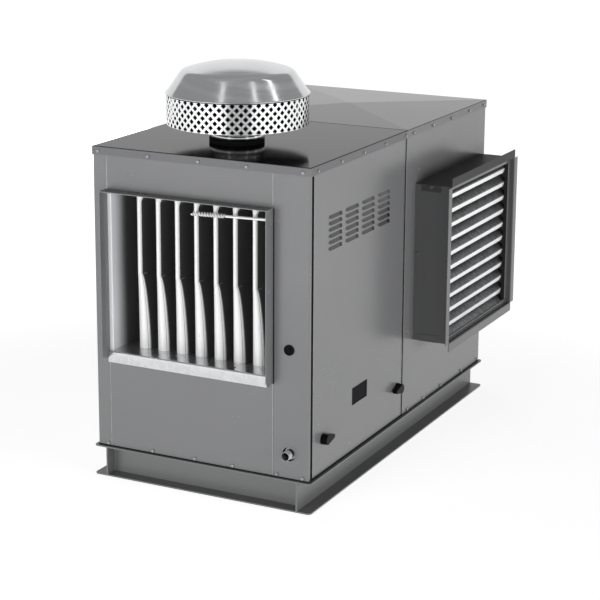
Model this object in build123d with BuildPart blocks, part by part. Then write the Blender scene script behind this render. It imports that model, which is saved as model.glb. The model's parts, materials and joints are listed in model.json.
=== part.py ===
from build123d import *
from math import sqrt
import os

# Outdoor duct gas heater on a channel base, in millimetres, +Z up.
# The origin is below the middle of the cabinet's front edge, on the surface that it
# stands on.
# The duct opening faces -Y, and the access panel and the intake hood face +X.
# Heights are given from the cabinet's underside.

# Cabinet, outside the roof flanges
cabinet_width = 660.0
heater_length = 616.0
inlet_length = 616.0
cabinet_height = 850.0
sheet = 2.0
bend_radius = 3.0
seam_gap = 1.0

# Base frame of channel rails with their flanges outwards
rail_height = 87.0
rail_flange = 43.0
rail_wall = 4.0
rail_overhang = 7.5
rail_corner_radius = 10.0

# Roof pans
roof_flange = 24.0
roof_peak_height = 9.0

# Duct opening in the front, measured over the collar plates
duct_left_margin = 43.5
duct_right_margin = 108.5
duct_sill_height = 274.0
duct_head_height = 735.0
collar_depth = 40.0
collar_side_drop = 15.0
liner_lip_drop = 29.0
liner_face_strip = 11.0
pan_hole_radius = 3.0
pan_hole_setback = 18.0
pan_hole_spacing = 239.0
pan_hole_shift = 11.0

# Heat exchanger sections that stand side by side in the air passage
exchanger_count = 7
exchanger_pitch = 59.3
exchanger_setback = 40.0
exchanger_length = 500.0
exchanger_neck_height = 497.0
exchanger_neck_radius = 7.5
exchanger_belly_radius = 16.5
exchanger_belly_setback = 8.0
exchanger_belly_swell = ((0.0, 1.0), (0.35, 0.9), (0.72, 0.66), (0.92, 0.25))
exchanger_crown_radius = 9.0
exchanger_crown_drop = 34.0

# Limit sensor: a rod with a coiled end across the duct opening
sensor_height = 697.0
sensor_setback = 20.0
sensor_rod_radius = 3.0
sensor_rod_length = 160.0
sensor_coil_radius = 6.5
sensor_coil_valley = 4.5
sensor_coil_length = 108.0
sensor_coil_turns = 18
sensor_flange_radius = 11.0
sensor_flange_thickness = 2.5

# Corner posts and panel edges
post_side_return = 12.0
panel_return = 18.0
post_stop_reach = 26.0
rear_post_leg = 40.0

# Access panel with pressed louvres, a sight glass and two quarter-turn latches
door_gap = 10.0
door_clearance = 5.0
slot_columns = 4
slot_rows = 6
slot_pitch_y = 103.0
slot_pitch_z = 17.0
slot_length = 88.0
slot_height = 11.0
slot_depth = 5.0
slot_lip = 1.0
slot_field_y = 305.0
slot_field_z = 656.0
window_width = 100.0
window_height = 50.0
window_y = 318.0
window_z = 160.0
window_lap = 10.0
glass_thickness = 3.0
latch_z = 97.0
latch_front_margin = 85.0
latch_rear_margin = 42.0
latch_hub_radius = 15.0
latch_hub_height = 9.0
latch_wing_length = 34.0
latch_wing_radius = 6.0
latch_wing_angle = 60.0
latch_wing_top = 19.0
latch_wing_clearance = 6.0
latch_shaft_radius = 5.0
latch_cam_length = 30.0
latch_cam_radius = 7.0
latch_cam_thickness = 3.0
latch_hub_inset = 1.0
latch_edge_radius = 1.5
running_gap = 0.3

# Intake hood on the right side of the rear section
hood_near = 684.0
hood_width = 512.0
hood_bottom = 215.0
hood_height = 469.0
hood_depth = 115.0
hood_flange = 24.0
hood_tab_reach = 50.0
hood_tab_width = 60.0
hood_tab_height = 20.0
louvre_recess = 14.0
louvre_face = 14.0
louvre_jamb_depth = 46.0
blade_count = 10
blade_pitch = 42.6
first_blade_z = 271.0
blade_run = 30.0
blade_rise = 24.0
blade_lip = 14.0
blade_lip_lean = 4.0
blade_sheet = 1.5

# Vent cap on the front roof
vent_x = 315.0
vent_y = 240.0
roof_collar_radius = 76.0
roof_collar_height = 12.0
flue_radius = 69.0
flue_bead_radius = 74.0
flue_bead_height = 14.0
vent_wall = 1.5
vent_band_radius = 197.0
vent_band_height = 91.0
vent_band_gap = 46.0
vent_holes_round = 52
vent_hole_rows = 7
vent_hole_rise = 11.9
vent_hole_side = 8.7
vent_rim_radius = 201.0
vent_rim_height = 5.0
vent_rim_rounding = 2.0
dome_side_radius = 158.0
dome_side_height = 54.0
dome_height = 90.0

# Gas inlet and plug on the wide front strip
pipe_margin = 61.0
pipe_z = 70.0
pipe_radius = 13.35
pipe_bore_radius = 10.5
pipe_bore_depth = 60.0
pipe_hole_radius = 19.0
pipe_projection = 22.0
pipe_stub_length = 30.0
pipe_end_chamfer = 1.5
socket_radius = 17.5
socket_length = 52.0
bracket_width = 50.0
bracket_foot = 30.0
plug_margin = 60.5
plug_z = 359.0
plug_radius = 14.5
plug_hole_radius = 11.0
plug_projection = 6.0
plug_groove_radius = 9.0
plug_groove_depth = 2.5
plug_button_radius = 6.5
plug_tail = 5.0

# Places worked out from the sizes above
left_x = -cabinet_width / 2
right_x = cabinet_width / 2
mid_y = heater_length
rear_y = heater_length + inlet_length
body_x = right_x - sheet
body_front = sheet
body_rear = rear_y - sheet
cabinet_z = rail_height
floor_top = cabinet_z + sheet
roof_top = cabinet_z + cabinet_height
wall_top = roof_top - sheet
wall_height = wall_top - floor_top
duct_left = left_x + duct_left_margin
duct_right = right_x - duct_right_margin
duct_middle = (duct_left + duct_right) / 2
duct_sill = cabinet_z + duct_sill_height
duct_head = cabinet_z + duct_head_height
return_x = body_x - panel_return
door_front = body_front + post_side_return + door_gap
door_rear = mid_y - door_gap
latch_front = latch_front_margin
latch_rear = mid_y - latch_rear_margin
bulkhead_y = door_rear + sheet
front_plane = Plane(origin=(0, body_front, 0), x_dir=(1, 0, 0), z_dir=(0, -1, 0))
side_plane = Plane(origin=(body_x, 0, 0), x_dir=(0, 1, 0), z_dir=(1, 0, 0))


def folded(points, thickness=sheet, radius=bend_radius):
    """Outline of a sheet that is folded along the points, thick to their left."""
    with BuildSketch() as outline:
        with BuildLine():
            path = FilletPolyline(*points, radius=radius)
            offset(path, amount=thickness, side=Side.LEFT)
        make_face()
    return outline.sketch


def block(low, high):
    """A plain plate between two opposite corners."""
    width, depth, height = (b - a for a, b in zip(low, high))
    with BuildPart() as plate:
        with BuildSketch(Plane.XY.offset(low[2])):
            with Locations((low[0], low[1])):
                Rectangle(width, depth, align=(Align.MIN, Align.MIN))
        extrude(amount=height)
    return plate.part


def save(part, name):
    """Label one piece and write its STEP file."""
    part.label = name
    export_step(part, os.path.join("parts", name + ".step"))


os.makedirs("parts", exist_ok=True)

# Base rails: the side rails run through, the cross rails sit between their webs
rail_outer_x = right_x + rail_overhang
rail_front = -rail_overhang
rail_rear = rear_y + rail_overhang
web_x = rail_outer_x - rail_flange


def rail(start, inward, length, rounded):
    """One channel rail from the corner of its flange tips, with its web to the inside."""
    inward = Vector(*inward)
    section_plane = Plane(origin=start, x_dir=inward, z_dir=inward.cross(Vector(0, 0, 1)))
    with BuildPart() as channel:
        with BuildSketch(section_plane):
            Rectangle(rail_flange, rail_height, align=(Align.MIN, Align.MIN))
            with Locations((0, rail_wall)):
                Rectangle(
                    rail_flange - rail_wall,
                    rail_height - 2 * rail_wall,
                    align=(Align.MIN, Align.MIN),
                    mode=Mode.SUBTRACT,
                )
        extrude(amount=length)
        if rounded:
            tips = channel.edges().filter_by(Axis.Z).group_by(lambda edge: abs(edge.center().X))[-1]
            fillet(tips, radius=rail_corner_radius)
    return channel.part


side_rail_length = rail_rear - rail_front
save(rail((-rail_outer_x, rail_rear, 0), (1, 0, 0), side_rail_length, True), "base_rail_left")
save(rail((rail_outer_x, rail_front, 0), (-1, 0, 0), side_rail_length, True), "base_rail_right")
save(rail((-web_x, rail_front, 0), (0, 1, 0), 2 * web_x, False), "base_rail_front")
save(rail((web_x, rail_rear, 0), (0, -1, 0), 2 * web_x, False), "base_rail_rear")

# Floor pans, the front one with an upstand that the access panel rests against
with BuildPart() as heater_floor:
    add(block((-body_x, body_front, cabinet_z), (body_x, mid_y - seam_gap, floor_top)))
    add(
        block(
            (return_x - sheet, door_front + post_stop_reach, floor_top),
            (return_x, bulkhead_y - post_stop_reach, floor_top + panel_return),
        )
    )
save(heater_floor.part, "heater_floor")
save(block((-body_x, mid_y, cabinet_z), (body_x, body_rear, floor_top)), "inlet_floor")

# Corner posts of the front; the right one has the door's jamb folded into it
with BuildPart() as front_post_left:
    with BuildSketch(Plane.XY.offset(floor_top)):
        add(
            folded(
                [
                    (-body_x, body_front + rear_post_leg),
                    (-body_x, body_front),
                    (duct_left - seam_gap, body_front),
                ]
            )
        )
    extrude(amount=wall_height)
save(front_post_left.part, "front_post_left")

jamb_y = body_front + post_side_return
with BuildPart() as front_post_right:
    with BuildSketch(Plane.XY.offset(floor_top)):
        add(
            folded(
                [
                    (duct_right + seam_gap, body_front),
                    (body_x, body_front),
                    (body_x, jamb_y),
                    (return_x, jamb_y),
                    (return_x, jamb_y + post_stop_reach),
                ]
            )
        )
    extrude(amount=wall_height)
    with BuildSketch(front_plane):
        with Locations((right_x - pipe_margin, cabinet_z + pipe_z)):
            Circle(pipe_hole_radius)
        with Locations((right_x - plug_margin, cabinet_z + plug_z)):
            Circle(plug_hole_radius + running_gap)
    extrude(amount=-2 * sheet, mode=Mode.SUBTRACT)
save(front_post_right.part, "front_post_right")

# Front panels above and below the duct opening
collar_front = body_front - collar_depth
save(
    block((duct_left, body_front, duct_head), (duct_right, body_front + sheet, wall_top)),
    "front_panel_upper",
)
save(
    block(
        (duct_left, body_front, floor_top),
        (duct_right, body_front + sheet, duct_sill - sheet - bend_radius),
    ),
    "front_panel_lower",
)

# Painted collar plates round the opening, open at the bottom
save(
    block(
        (duct_left, collar_front, duct_head - sheet),
        (duct_right, body_front + sheet, duct_head),
    ),
    "collar_top",
)
collar_low = duct_sill - collar_side_drop
for name, low_x in (("collar_left", duct_left), ("collar_right", duct_right - sheet)):
    save(
        block((low_x, collar_front, collar_low), (low_x + sheet, body_front, duct_head - sheet)),
        name,
    )

# Bright liner of the air passage: a pan with a rolled lip, two sides and a top
passage_left = duct_left + sheet + liner_face_strip
passage_right = duct_right - sheet - liner_face_strip
with BuildPart() as liner_pan:
    with BuildSketch(Plane.YZ.offset(duct_left + sheet)):
        add(
            folded(
                [
                    (bulkhead_y, duct_sill),
                    (body_front - sheet, duct_sill),
                    (body_front - sheet, duct_sill - liner_lip_drop),
                ]
            )
        )
    extrude(amount=duct_right - duct_left - 2 * sheet)
    with BuildSketch(Plane.XY.offset(duct_sill)):
        for side in (-1, 1):
            hole_x = duct_middle + pan_hole_shift + side * pan_hole_spacing / 2
            with Locations((hole_x, pan_hole_setback)):
                Circle(pan_hole_radius)
    extrude(amount=-sheet, mode=Mode.SUBTRACT)
save(liner_pan.part, "liner_pan")

liner_height = duct_head - sheet - duct_sill
for name, strip_x, wall_x in (
    ("liner_left", duct_left, passage_left),
    ("liner_right", duct_right, passage_right),
):
    turn = [(strip_x, body_front), (wall_x, body_front), (wall_x, bulkhead_y)]
    if strip_x > wall_x:
        turn.reverse()
    with BuildPart() as liner_side:
        with BuildSketch(Plane.XY.offset(duct_sill)):
            add(folded(turn))
        extrude(amount=liner_height)
    save(liner_side.part, name)

save(
    block(
        (passage_left - sheet, body_front + sheet, duct_head),
        (passage_right + sheet, bulkhead_y, duct_head + sheet),
    ),
    "liner_top",
)

# Heat exchanger sections: a thin neck above, a pressed belly round the burner below.
# Each level of the belly has its height and its share of the full swell.
belly_height = exchanger_neck_height - duct_sill_height
belly_levels = [(duct_sill + rise * belly_height, swell) for rise, swell in exchanger_belly_swell]
belly_levels.append((cabinet_z + exchanger_neck_height + exchanger_belly_radius, 0.0))


def exchanger_section(centre_x, height, radius, setback):
    """Level outline of one section: long flat flanks and a round nose at each end."""
    length = exchanger_length - 2 * setback
    middle_y = exchanger_setback + exchanger_length / 2
    with BuildSketch(Plane.XY.offset(height)) as outline:
        with Locations((centre_x, middle_y)):
            SlotOverall(length, 2 * radius, rotation=90)
    return outline.sketch


with BuildPart() as heat_exchangers:
    for index in range(exchanger_count):
        shift = (index - (exchanger_count - 1) / 2) * exchanger_pitch
        levels = [
            (
                height,
                exchanger_neck_radius + swell * (exchanger_belly_radius - exchanger_neck_radius),
                swell * exchanger_belly_setback,
            )
            for height, swell in belly_levels
        ]
        levels.append((duct_head - exchanger_crown_drop, exchanger_neck_radius, 0))
        levels.append((duct_head, exchanger_crown_radius, 0))
        outlines = [exchanger_section(duct_middle + shift, *level).face() for level in levels]
        neck = len(belly_levels)
        loft(sections=outlines[:neck])
        loft(sections=outlines[neck - 1 :], ruled=True)
save(heat_exchangers.part, "heat_exchangers")

# Limit sensor, carried by a flange on the right liner
sensor_end = passage_right
sensor_plane = Plane(
    origin=(sensor_end, sensor_setback, cabinet_z + sensor_height),
    x_dir=(0, 1, 0),
    z_dir=(-1, 0, 0),
)
with BuildPart() as limit_sensor:
    with BuildSketch(sensor_plane):
        Circle(sensor_flange_radius)
    extrude(amount=sensor_flange_thickness)
    with BuildSketch(sensor_plane):
        Circle(sensor_rod_radius)
    extrude(amount=sensor_rod_length)
    with BuildSketch(Plane(origin=sensor_plane.origin, x_dir=(-1, 0, 0), z_dir=(0, -1, 0))):
        with BuildLine():
            coil_pitch = sensor_coil_length / sensor_coil_turns
            coil_start = Line((sensor_rod_length, 0), (sensor_rod_length, sensor_coil_valley))
            for turn in range(sensor_coil_turns):
                near = sensor_rod_length + turn * coil_pitch
                ThreePointArc(
                    (near, sensor_coil_valley),
                    (near + coil_pitch / 2, sensor_coil_radius),
                    (near + coil_pitch, sensor_coil_valley),
                )
            far = sensor_rod_length + sensor_coil_length
            Polyline((far, sensor_coil_valley), (far, 0), coil_start @ 0)
        make_face()
    revolve(axis=Axis(sensor_plane.origin, (1, 0, 0)))
save(limit_sensor.part, "limit_sensor")

# Bulkhead between the two sections, folded forwards at the door
with BuildPart() as bulkhead:
    with BuildSketch(Plane.XY.offset(floor_top)):
        add(
            folded(
                [
                    (return_x, bulkhead_y - post_stop_reach),
                    (return_x, bulkhead_y + sheet),
                    (-return_x, bulkhead_y + sheet),
                ]
            )
        )
    extrude(amount=wall_height)
    with BuildSketch(Plane.XZ.offset(-bulkhead_y)):
        with Locations((passage_left, duct_sill)):
            Rectangle(
                passage_right - passage_left,
                duct_head - duct_sill,
                align=(Align.MIN, Align.MIN),
            )
    extrude(amount=-2 * sheet, mode=Mode.SUBTRACT)
save(bulkhead.part, "bulkhead")


def side_pan(outer_x, low_y, high_y, low_z, high_z):
    """A side panel with its edges folded inwards, open towards the inside."""
    inner_x = outer_x - panel_return if outer_x > 0 else outer_x + panel_return
    low_x, high_x = sorted((inner_x, outer_x))
    with BuildPart() as pan:
        add(block((low_x, low_y, low_z), (high_x, high_y, high_z)))
        upright = pan.edges().filter_by(Axis.Z)
        fillet(upright.group_by(lambda edge: abs(edge.center().X))[-1], radius=bend_radius)
        inner_face = pan.faces().filter_by(Axis.X).sort_by(Axis.X)[0 if outer_x > 0 else -1]
        offset(amount=-sheet, openings=inner_face)
    return pan.part


# Plain side panels and the rear panel
post_end = body_front + rear_post_leg
save(
    side_pan(-body_x, post_end + seam_gap, mid_y - seam_gap, floor_top, wall_top),
    "heater_panel_left",
)
save(side_pan(-body_x, mid_y, body_rear, floor_top, wall_top), "inlet_panel_left")
save(
    block((-return_x, body_rear - sheet, floor_top), (return_x, body_rear, wall_top)),
    "rear_panel",
)


def pressed_hood(base):
    """Upper half of a long boss with sloping flanks, starting base mm off the panel's face."""
    with BuildPart() as hood:
        with BuildSketch(Plane.XY.offset(base)):
            SlotOverall(slot_length, 2 * slot_height)
        with BuildSketch(Plane.XY.offset(base + slot_depth)):
            SlotOverall(slot_length - 2 * (slot_height - slot_lip), 2 * slot_lip)
        loft(ruled=True)
        split(bisect_by=Plane.XZ, keep=Keep.BOTTOM)
    return hood.part


# Access panel, its louvres pressed outwards and open along their lower edge
slot_wall = sheet * sqrt(slot_depth**2 + (slot_height - slot_lip) ** 2) / (slot_height - slot_lip)
slot_form = pressed_hood(0)
slot_hollow = pressed_hood(-slot_wall)
slot_centre = Plane(
    origin=(body_x, slot_field_y, cabinet_z + slot_field_z - slot_height / 2),
    x_dir=(0, 1, 0),
    z_dir=(1, 0, 0),
)
door_low = cabinet_z + door_clearance
door_high = wall_top - door_clearance
with BuildPart() as access_panel:
    add(side_pan(body_x, door_front, door_rear, door_low, door_high))
    with Locations(slot_centre):
        with GridLocations(slot_pitch_y, slot_pitch_z, slot_columns, slot_rows):
            add(slot_form)
            add(slot_hollow, mode=Mode.SUBTRACT)
    with BuildSketch(side_plane):
        with Locations((window_y, cabinet_z + window_z)):
            Rectangle(window_width, window_height)
        for latch_y in (latch_front, latch_rear):
            with Locations((latch_y, cabinet_z + latch_z)):
                Circle(latch_shaft_radius + running_gap)
    extrude(amount=-2 * sheet, mode=Mode.SUBTRACT)
save(access_panel.part, "access_panel")

with BuildPart() as sight_glass:
    with BuildSketch(side_plane.offset(-sheet)):
        with Locations((window_y, cabinet_z + window_z)):
            Rectangle(window_width + 2 * window_lap, window_height + 2 * window_lap)
    extrude(amount=-glass_thickness)
save(sight_glass.part, "sight_glass")


def latch(pivot_y, side):
    """A quarter-turn latch: hub, proud wing, shaft and the cam behind the panel."""
    pivot = Plane(
        origin=(body_x, pivot_y, cabinet_z + latch_z),
        x_dir=(0, side, 0),
        z_dir=(1, 0, 0),
    )
    with BuildPart() as handle:
        with BuildSketch(pivot.offset(running_gap)):
            Circle(latch_hub_radius)
        extrude(amount=latch_hub_height)
        fillet(handle.faces().sort_by(Axis.X)[-1].edges(), radius=latch_edge_radius)
        with BuildSketch(pivot.offset(latch_wing_clearance)):
            with BuildLine():
                hub_bend = 360 - 2 * latch_wing_angle
                hub = CenterArc((0, 0), latch_hub_radius - latch_hub_inset, latch_wing_angle, hub_bend)
                Line(hub @ 1, (latch_wing_length, -latch_wing_radius))
                RadiusArc(
                    (latch_wing_length, -latch_wing_radius),
                    (latch_wing_length, latch_wing_radius),
                    -latch_wing_radius,
                )
                Line((latch_wing_length, latch_wing_radius), hub @ 0)
            make_face()
        extrude(amount=latch_wing_top - latch_wing_clearance)
        fillet(handle.faces().sort_by(Axis.X)[-1].edges(), radius=latch_edge_radius)
        with BuildSketch(pivot.offset(running_gap)):
            Circle(latch_shaft_radius)
        cam_depth = sheet + door_clearance + latch_cam_thickness + running_gap
        extrude(amount=-cam_depth)
        with BuildSketch(pivot.offset(running_gap - cam_depth)):
            with Locations((latch_cam_length / 2 - latch_cam_radius / 2, 0)):
                SlotOverall(latch_cam_length + latch_cam_radius, 2 * latch_cam_radius)
        extrude(amount=latch_cam_thickness)
    return handle.part


save(latch(latch_front, 1), "panel_latch_front")
save(latch(latch_rear, -1), "panel_latch_rear")

# Right side of the rear section, cut out behind the hood
hood_far = hood_near + hood_width
hood_low = cabinet_z + hood_bottom
hood_high = hood_low + hood_height
with BuildPart() as inlet_panel_right:
    add(side_pan(body_x, mid_y, body_rear, floor_top, wall_top))
    with BuildSketch(side_plane):
        with Locations((hood_near + sheet, hood_low + sheet)):
            Rectangle(hood_width - 2 * sheet, hood_height - 2 * sheet, align=(Align.MIN, Align.MIN))
    extrude(amount=-2 * sheet, mode=Mode.SUBTRACT)
save(inlet_panel_right.part, "inlet_panel_right")

# Hood: four plates with flanges turned outwards at the mouth, open at the corners
mouth_x = body_x + hood_depth
hood_plane = Plane(origin=(0, hood_near, 0), x_dir=(1, 0, 0), z_dir=(0, -1, 0))


def hood_profile(edge, outward):
    """A hood plate with its outer face at edge and its flange turned outward, +1 or -1."""
    inner = edge - outward * sheet
    path = [(body_x, inner), (mouth_x, inner), (mouth_x, edge + outward * hood_flange)]
    if outward < 0:
        path.reverse()
    return folded(path)


for name, edge, outward in (("hood_top", hood_high, 1), ("hood_bottom", hood_low, -1)):
    with BuildPart() as hood_plate:
        with BuildSketch(hood_plane):
            add(hood_profile(edge, outward))
        extrude(amount=-hood_width)
        tab_low, tab_high = sorted((edge, edge - outward * hood_tab_height))
        for tab_y in (hood_near - sheet, hood_far):
            add(
                block(
                    (body_x + hood_tab_reach - hood_tab_width / 2, tab_y, tab_low),
                    (body_x + hood_tab_reach + hood_tab_width / 2, tab_y + sheet, tab_high),
                )
            )
    save(hood_plate.part, name)
for name, edge, outward in (("hood_near_side", hood_near, -1), ("hood_far_side", hood_far, 1)):
    with BuildPart() as hood_plate:
        with BuildSketch(Plane.XY.offset(hood_low + sheet)):
            add(hood_profile(edge, outward))
        extrude(amount=hood_height - 2 * sheet)
    save(hood_plate.part, name)

# Fixed louvre in the hood: a face ring with jambs behind it, and sloping blades
louvre_x = mouth_x - louvre_recess
louvre_low = hood_low + sheet
louvre_high = hood_high - sheet
louvre_near = hood_near + sheet
louvre_far = hood_far - sheet
with BuildPart() as louvre_frame:
    for jamb in (
        [
            (louvre_x, louvre_near),
            (louvre_x, louvre_near + louvre_face),
            (louvre_x - louvre_jamb_depth, louvre_near + louvre_face),
        ],
        [
            (louvre_x - louvre_jamb_depth, louvre_far - louvre_face),
            (louvre_x, louvre_far - louvre_face),
            (louvre_x, louvre_far),
        ],
    ):
        with BuildSketch(Plane.XY.offset(louvre_low)):
            add(folded(jamb))
        extrude(amount=louvre_high - louvre_low)
    for strip_z in (louvre_low, louvre_high - louvre_face):
        add(
            block(
                (louvre_x - sheet, louvre_near, strip_z),
                (louvre_x, louvre_far, strip_z + louvre_face),
            )
        )
save(louvre_frame.part, "louvre_frame")

blade_plane = Plane(
    origin=(0, louvre_near + louvre_face, 0), x_dir=(1, 0, 0), z_dir=(0, -1, 0)
)
blade_tip_x = louvre_x - sheet - 2 * blade_sheet
with BuildPart() as louvre_blades:
    for index in range(blade_count):
        lip_z = cabinet_z + first_blade_z + index * blade_pitch
        with BuildSketch(blade_plane):
            add(
                folded(
                    [
                        (blade_tip_x - blade_run, lip_z + blade_rise),
                        (blade_tip_x, lip_z),
                        (blade_tip_x - blade_lip_lean, lip_z - blade_lip),
                    ],
                    thickness=blade_sheet,
                )
            )
        extrude(amount=-(hood_width - 2 * sheet - 2 * louvre_face))
save(louvre_blades.part, "louvre_blades")


def roof_pan(low_y, high_y, inner_low_y, inner_high_y):
    """A roof pan with its edges folded down, open along the joint of the two roofs."""
    flange_z = roof_top - roof_flange
    with BuildPart() as pan:
        add(block((left_x, low_y, flange_z), (right_x, high_y, roof_top)))
        fillet(pan.faces().sort_by(Axis.Z)[-1].edges(), radius=bend_radius)
        add(
            block((-body_x, inner_low_y, flange_z), (body_x, inner_high_y, wall_top)),
            mode=Mode.SUBTRACT,
        )
    return pan.part


save(roof_pan(0, mid_y, body_front, mid_y), "heater_roof")

with BuildPart() as inlet_roof:
    add(roof_pan(mid_y, rear_y, mid_y, body_rear))
    with BuildSketch(Plane.XY.offset(roof_top)):
        with Locations((0, (mid_y + rear_y) / 2)):
            Rectangle(cabinet_width - 4 * bend_radius, inlet_length - 4 * bend_radius)
    roof_peak = Vertex(0, (mid_y + rear_y) / 2, roof_top + roof_peak_height)
    loft(sections=[inlet_roof.pending_faces[0], roof_peak])
save(inlet_roof.part, "inlet_roof")

# Vent cap: a collar on the roof, the cap's base with its flue tube, the band and the dome
vent_axis = Axis((left_x + vent_x, vent_y, 0), (0, 0, 1))
vent_plane = Plane(origin=vent_axis.position, x_dir=(1, 0, 0), z_dir=(0, -1, 0))
band_low = roof_top + vent_band_gap
band_high = band_low + vent_band_height

with BuildPart() as roof_collar:
    with BuildSketch(vent_plane):
        with Locations((flue_radius + running_gap, roof_top)):
            Rectangle(
                roof_collar_radius - flue_radius - running_gap,
                roof_collar_height,
                align=(Align.MIN, Align.MIN),
            )
    revolve(axis=vent_axis)
save(roof_collar.part, "roof_collar")

with BuildPart() as vent_base:
    with BuildSketch(vent_plane):
        with BuildLine():
            Polyline(
                (flue_radius - vent_wall, roof_top),
                (flue_radius, roof_top),
                (flue_radius, roof_top + roof_collar_height),
                (flue_bead_radius, roof_top + roof_collar_height),
                (flue_bead_radius, roof_top + roof_collar_height + flue_bead_height),
                (flue_radius, roof_top + roof_collar_height + flue_bead_height),
                (flue_radius, band_low),
                (vent_band_radius - vent_wall, band_low),
                (vent_band_radius - vent_wall, band_low + vent_wall),
                (flue_radius - vent_wall, band_low + vent_wall),
                close=True,
            )
        make_face()
    revolve(axis=vent_axis)
save(vent_base.part, "vent_base")

# The band is perforated with staggered diamond holes, cut through at its two edges
with BuildPart() as diamond_hole:
    with BuildSketch(Plane.YZ.offset(vent_band_radius - 2 * vent_wall)):
        Rectangle(vent_hole_side, vent_hole_side, rotation=45)
    extrude(amount=3 * vent_wall)

hole_places = []
for row in range(vent_hole_rows):
    hole_z = band_low + vent_band_height / 2 + (row - (vent_hole_rows - 1) / 2) * vent_hole_rise
    with Locations((left_x + vent_x, vent_y, hole_z)):
        with PolarLocations(0, vent_holes_round, start_angle=row * 180 / vent_holes_round) as ring:
            hole_places += ring.locations

with BuildPart() as vent_band:
    with BuildSketch(vent_plane):
        with Locations((vent_band_radius - vent_wall, band_low)):
            Rectangle(vent_wall, vent_band_height, align=(Align.MIN, Align.MIN))
    revolve(axis=vent_axis)
    with Locations(*hole_places):
        add(diamond_hole.part, mode=Mode.SUBTRACT)
save(vent_band.part, "vent_band")

crown_sag = dome_height - dome_side_height
crown_radius = (dome_side_radius**2 + crown_sag**2) / (2 * crown_sag)
with BuildPart() as vent_dome:
    with BuildSketch(vent_plane):
        with BuildLine():
            crown = RadiusArc(
                (0, band_high + dome_height),
                (dome_side_radius, band_high + dome_side_height),
                crown_radius,
            )
            shoulder = TangentArc(
                crown @ 1, (vent_band_radius, band_high + vent_rim_height), tangent=crown % 1
            )
            offset(Wire([crown, shoulder]), amount=vent_wall, side=Side.RIGHT)
        make_face()
        with Locations((vent_band_radius - vent_wall, band_high)):
            Rectangle(
                vent_rim_radius - vent_band_radius + vent_wall,
                vent_rim_height,
                align=(Align.MIN, Align.MIN),
            )
    revolve(axis=vent_axis)
    rim_edges = vent_dome.edges().filter_by(GeomType.CIRCLE)
    fillet(
        rim_edges.filter_by(lambda edge: abs(edge.radius - vent_rim_radius) < vent_wall),
        radius=vent_rim_rounding,
    )
save(vent_dome.part, "vent_dome")

# Gas pipe through the wide front strip, held by a bracket on the floor
pipe_front = body_front - pipe_projection
pipe_end = pipe_front + pipe_stub_length + socket_length
pipe_plane = Plane(
    origin=(right_x - pipe_margin, pipe_front, cabinet_z + pipe_z), x_dir=(1, 0, 0), z_dir=(0, -1, 0)
)
with BuildPart() as gas_pipe:
    with BuildSketch(pipe_plane):
        Circle(pipe_radius)
    extrude(amount=-pipe_stub_length)
    with BuildSketch(pipe_plane.offset(-pipe_stub_length)):
        Circle(socket_radius)
    extrude(amount=-socket_length)
    with BuildSketch(pipe_plane):
        Circle(pipe_bore_radius)
    extrude(amount=-pipe_bore_depth, mode=Mode.SUBTRACT)
    mouth = gas_pipe.edges().filter_by(GeomType.CIRCLE).group_by(Axis.Y)[0]
    chamfer(mouth.sort_by(SortBy.RADIUS)[0], length=pipe_end_chamfer)
save(gas_pipe.part, "gas_pipe")

with BuildPart() as pipe_bracket:
    with BuildSketch(Plane.YZ.offset(right_x - pipe_margin - bracket_width / 2)):
        add(
            folded(
                [
                    (pipe_end + bracket_foot, floor_top + sheet),
                    (pipe_end + sheet, floor_top + sheet),
                    (pipe_end + sheet, cabinet_z + pipe_z + bracket_width / 2),
                ]
            )
        )
    extrude(amount=bracket_width)
save(pipe_bracket.part, "pipe_bracket")

# Plug in the round hole above the gas pipe
plug_plane = Plane(
    origin=(right_x - plug_margin, body_front, cabinet_z + plug_z), x_dir=(1, 0, 0), z_dir=(0, -1, 0)
)
with BuildPart() as hole_plug:
    with BuildSketch(plug_plane):
        Circle(plug_radius)
    extrude(amount=plug_projection)
    fillet(hole_plug.faces().sort_by(Axis.Y)[0].edges(), radius=bend_radius)
    with BuildSketch(plug_plane.offset(plug_projection)):
        Circle(plug_groove_radius)
        Circle(plug_button_radius, mode=Mode.SUBTRACT)
    extrude(amount=-plug_groove_depth, mode=Mode.SUBTRACT)
    with BuildSketch(plug_plane):
        Circle(plug_hole_radius)
    extrude(amount=-(sheet + plug_tail))
save(hole_plug.part, "hole_plug")
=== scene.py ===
import json
from math import cos, pi, radians, sin

import bmesh
import bpy
import numpy as np
from bpy.props import FloatProperty, FloatVectorProperty, IntProperty, PointerProperty
from bpy.types import Operator, Panel, PropertyGroup
from mathutils import Matrix, Vector


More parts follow.
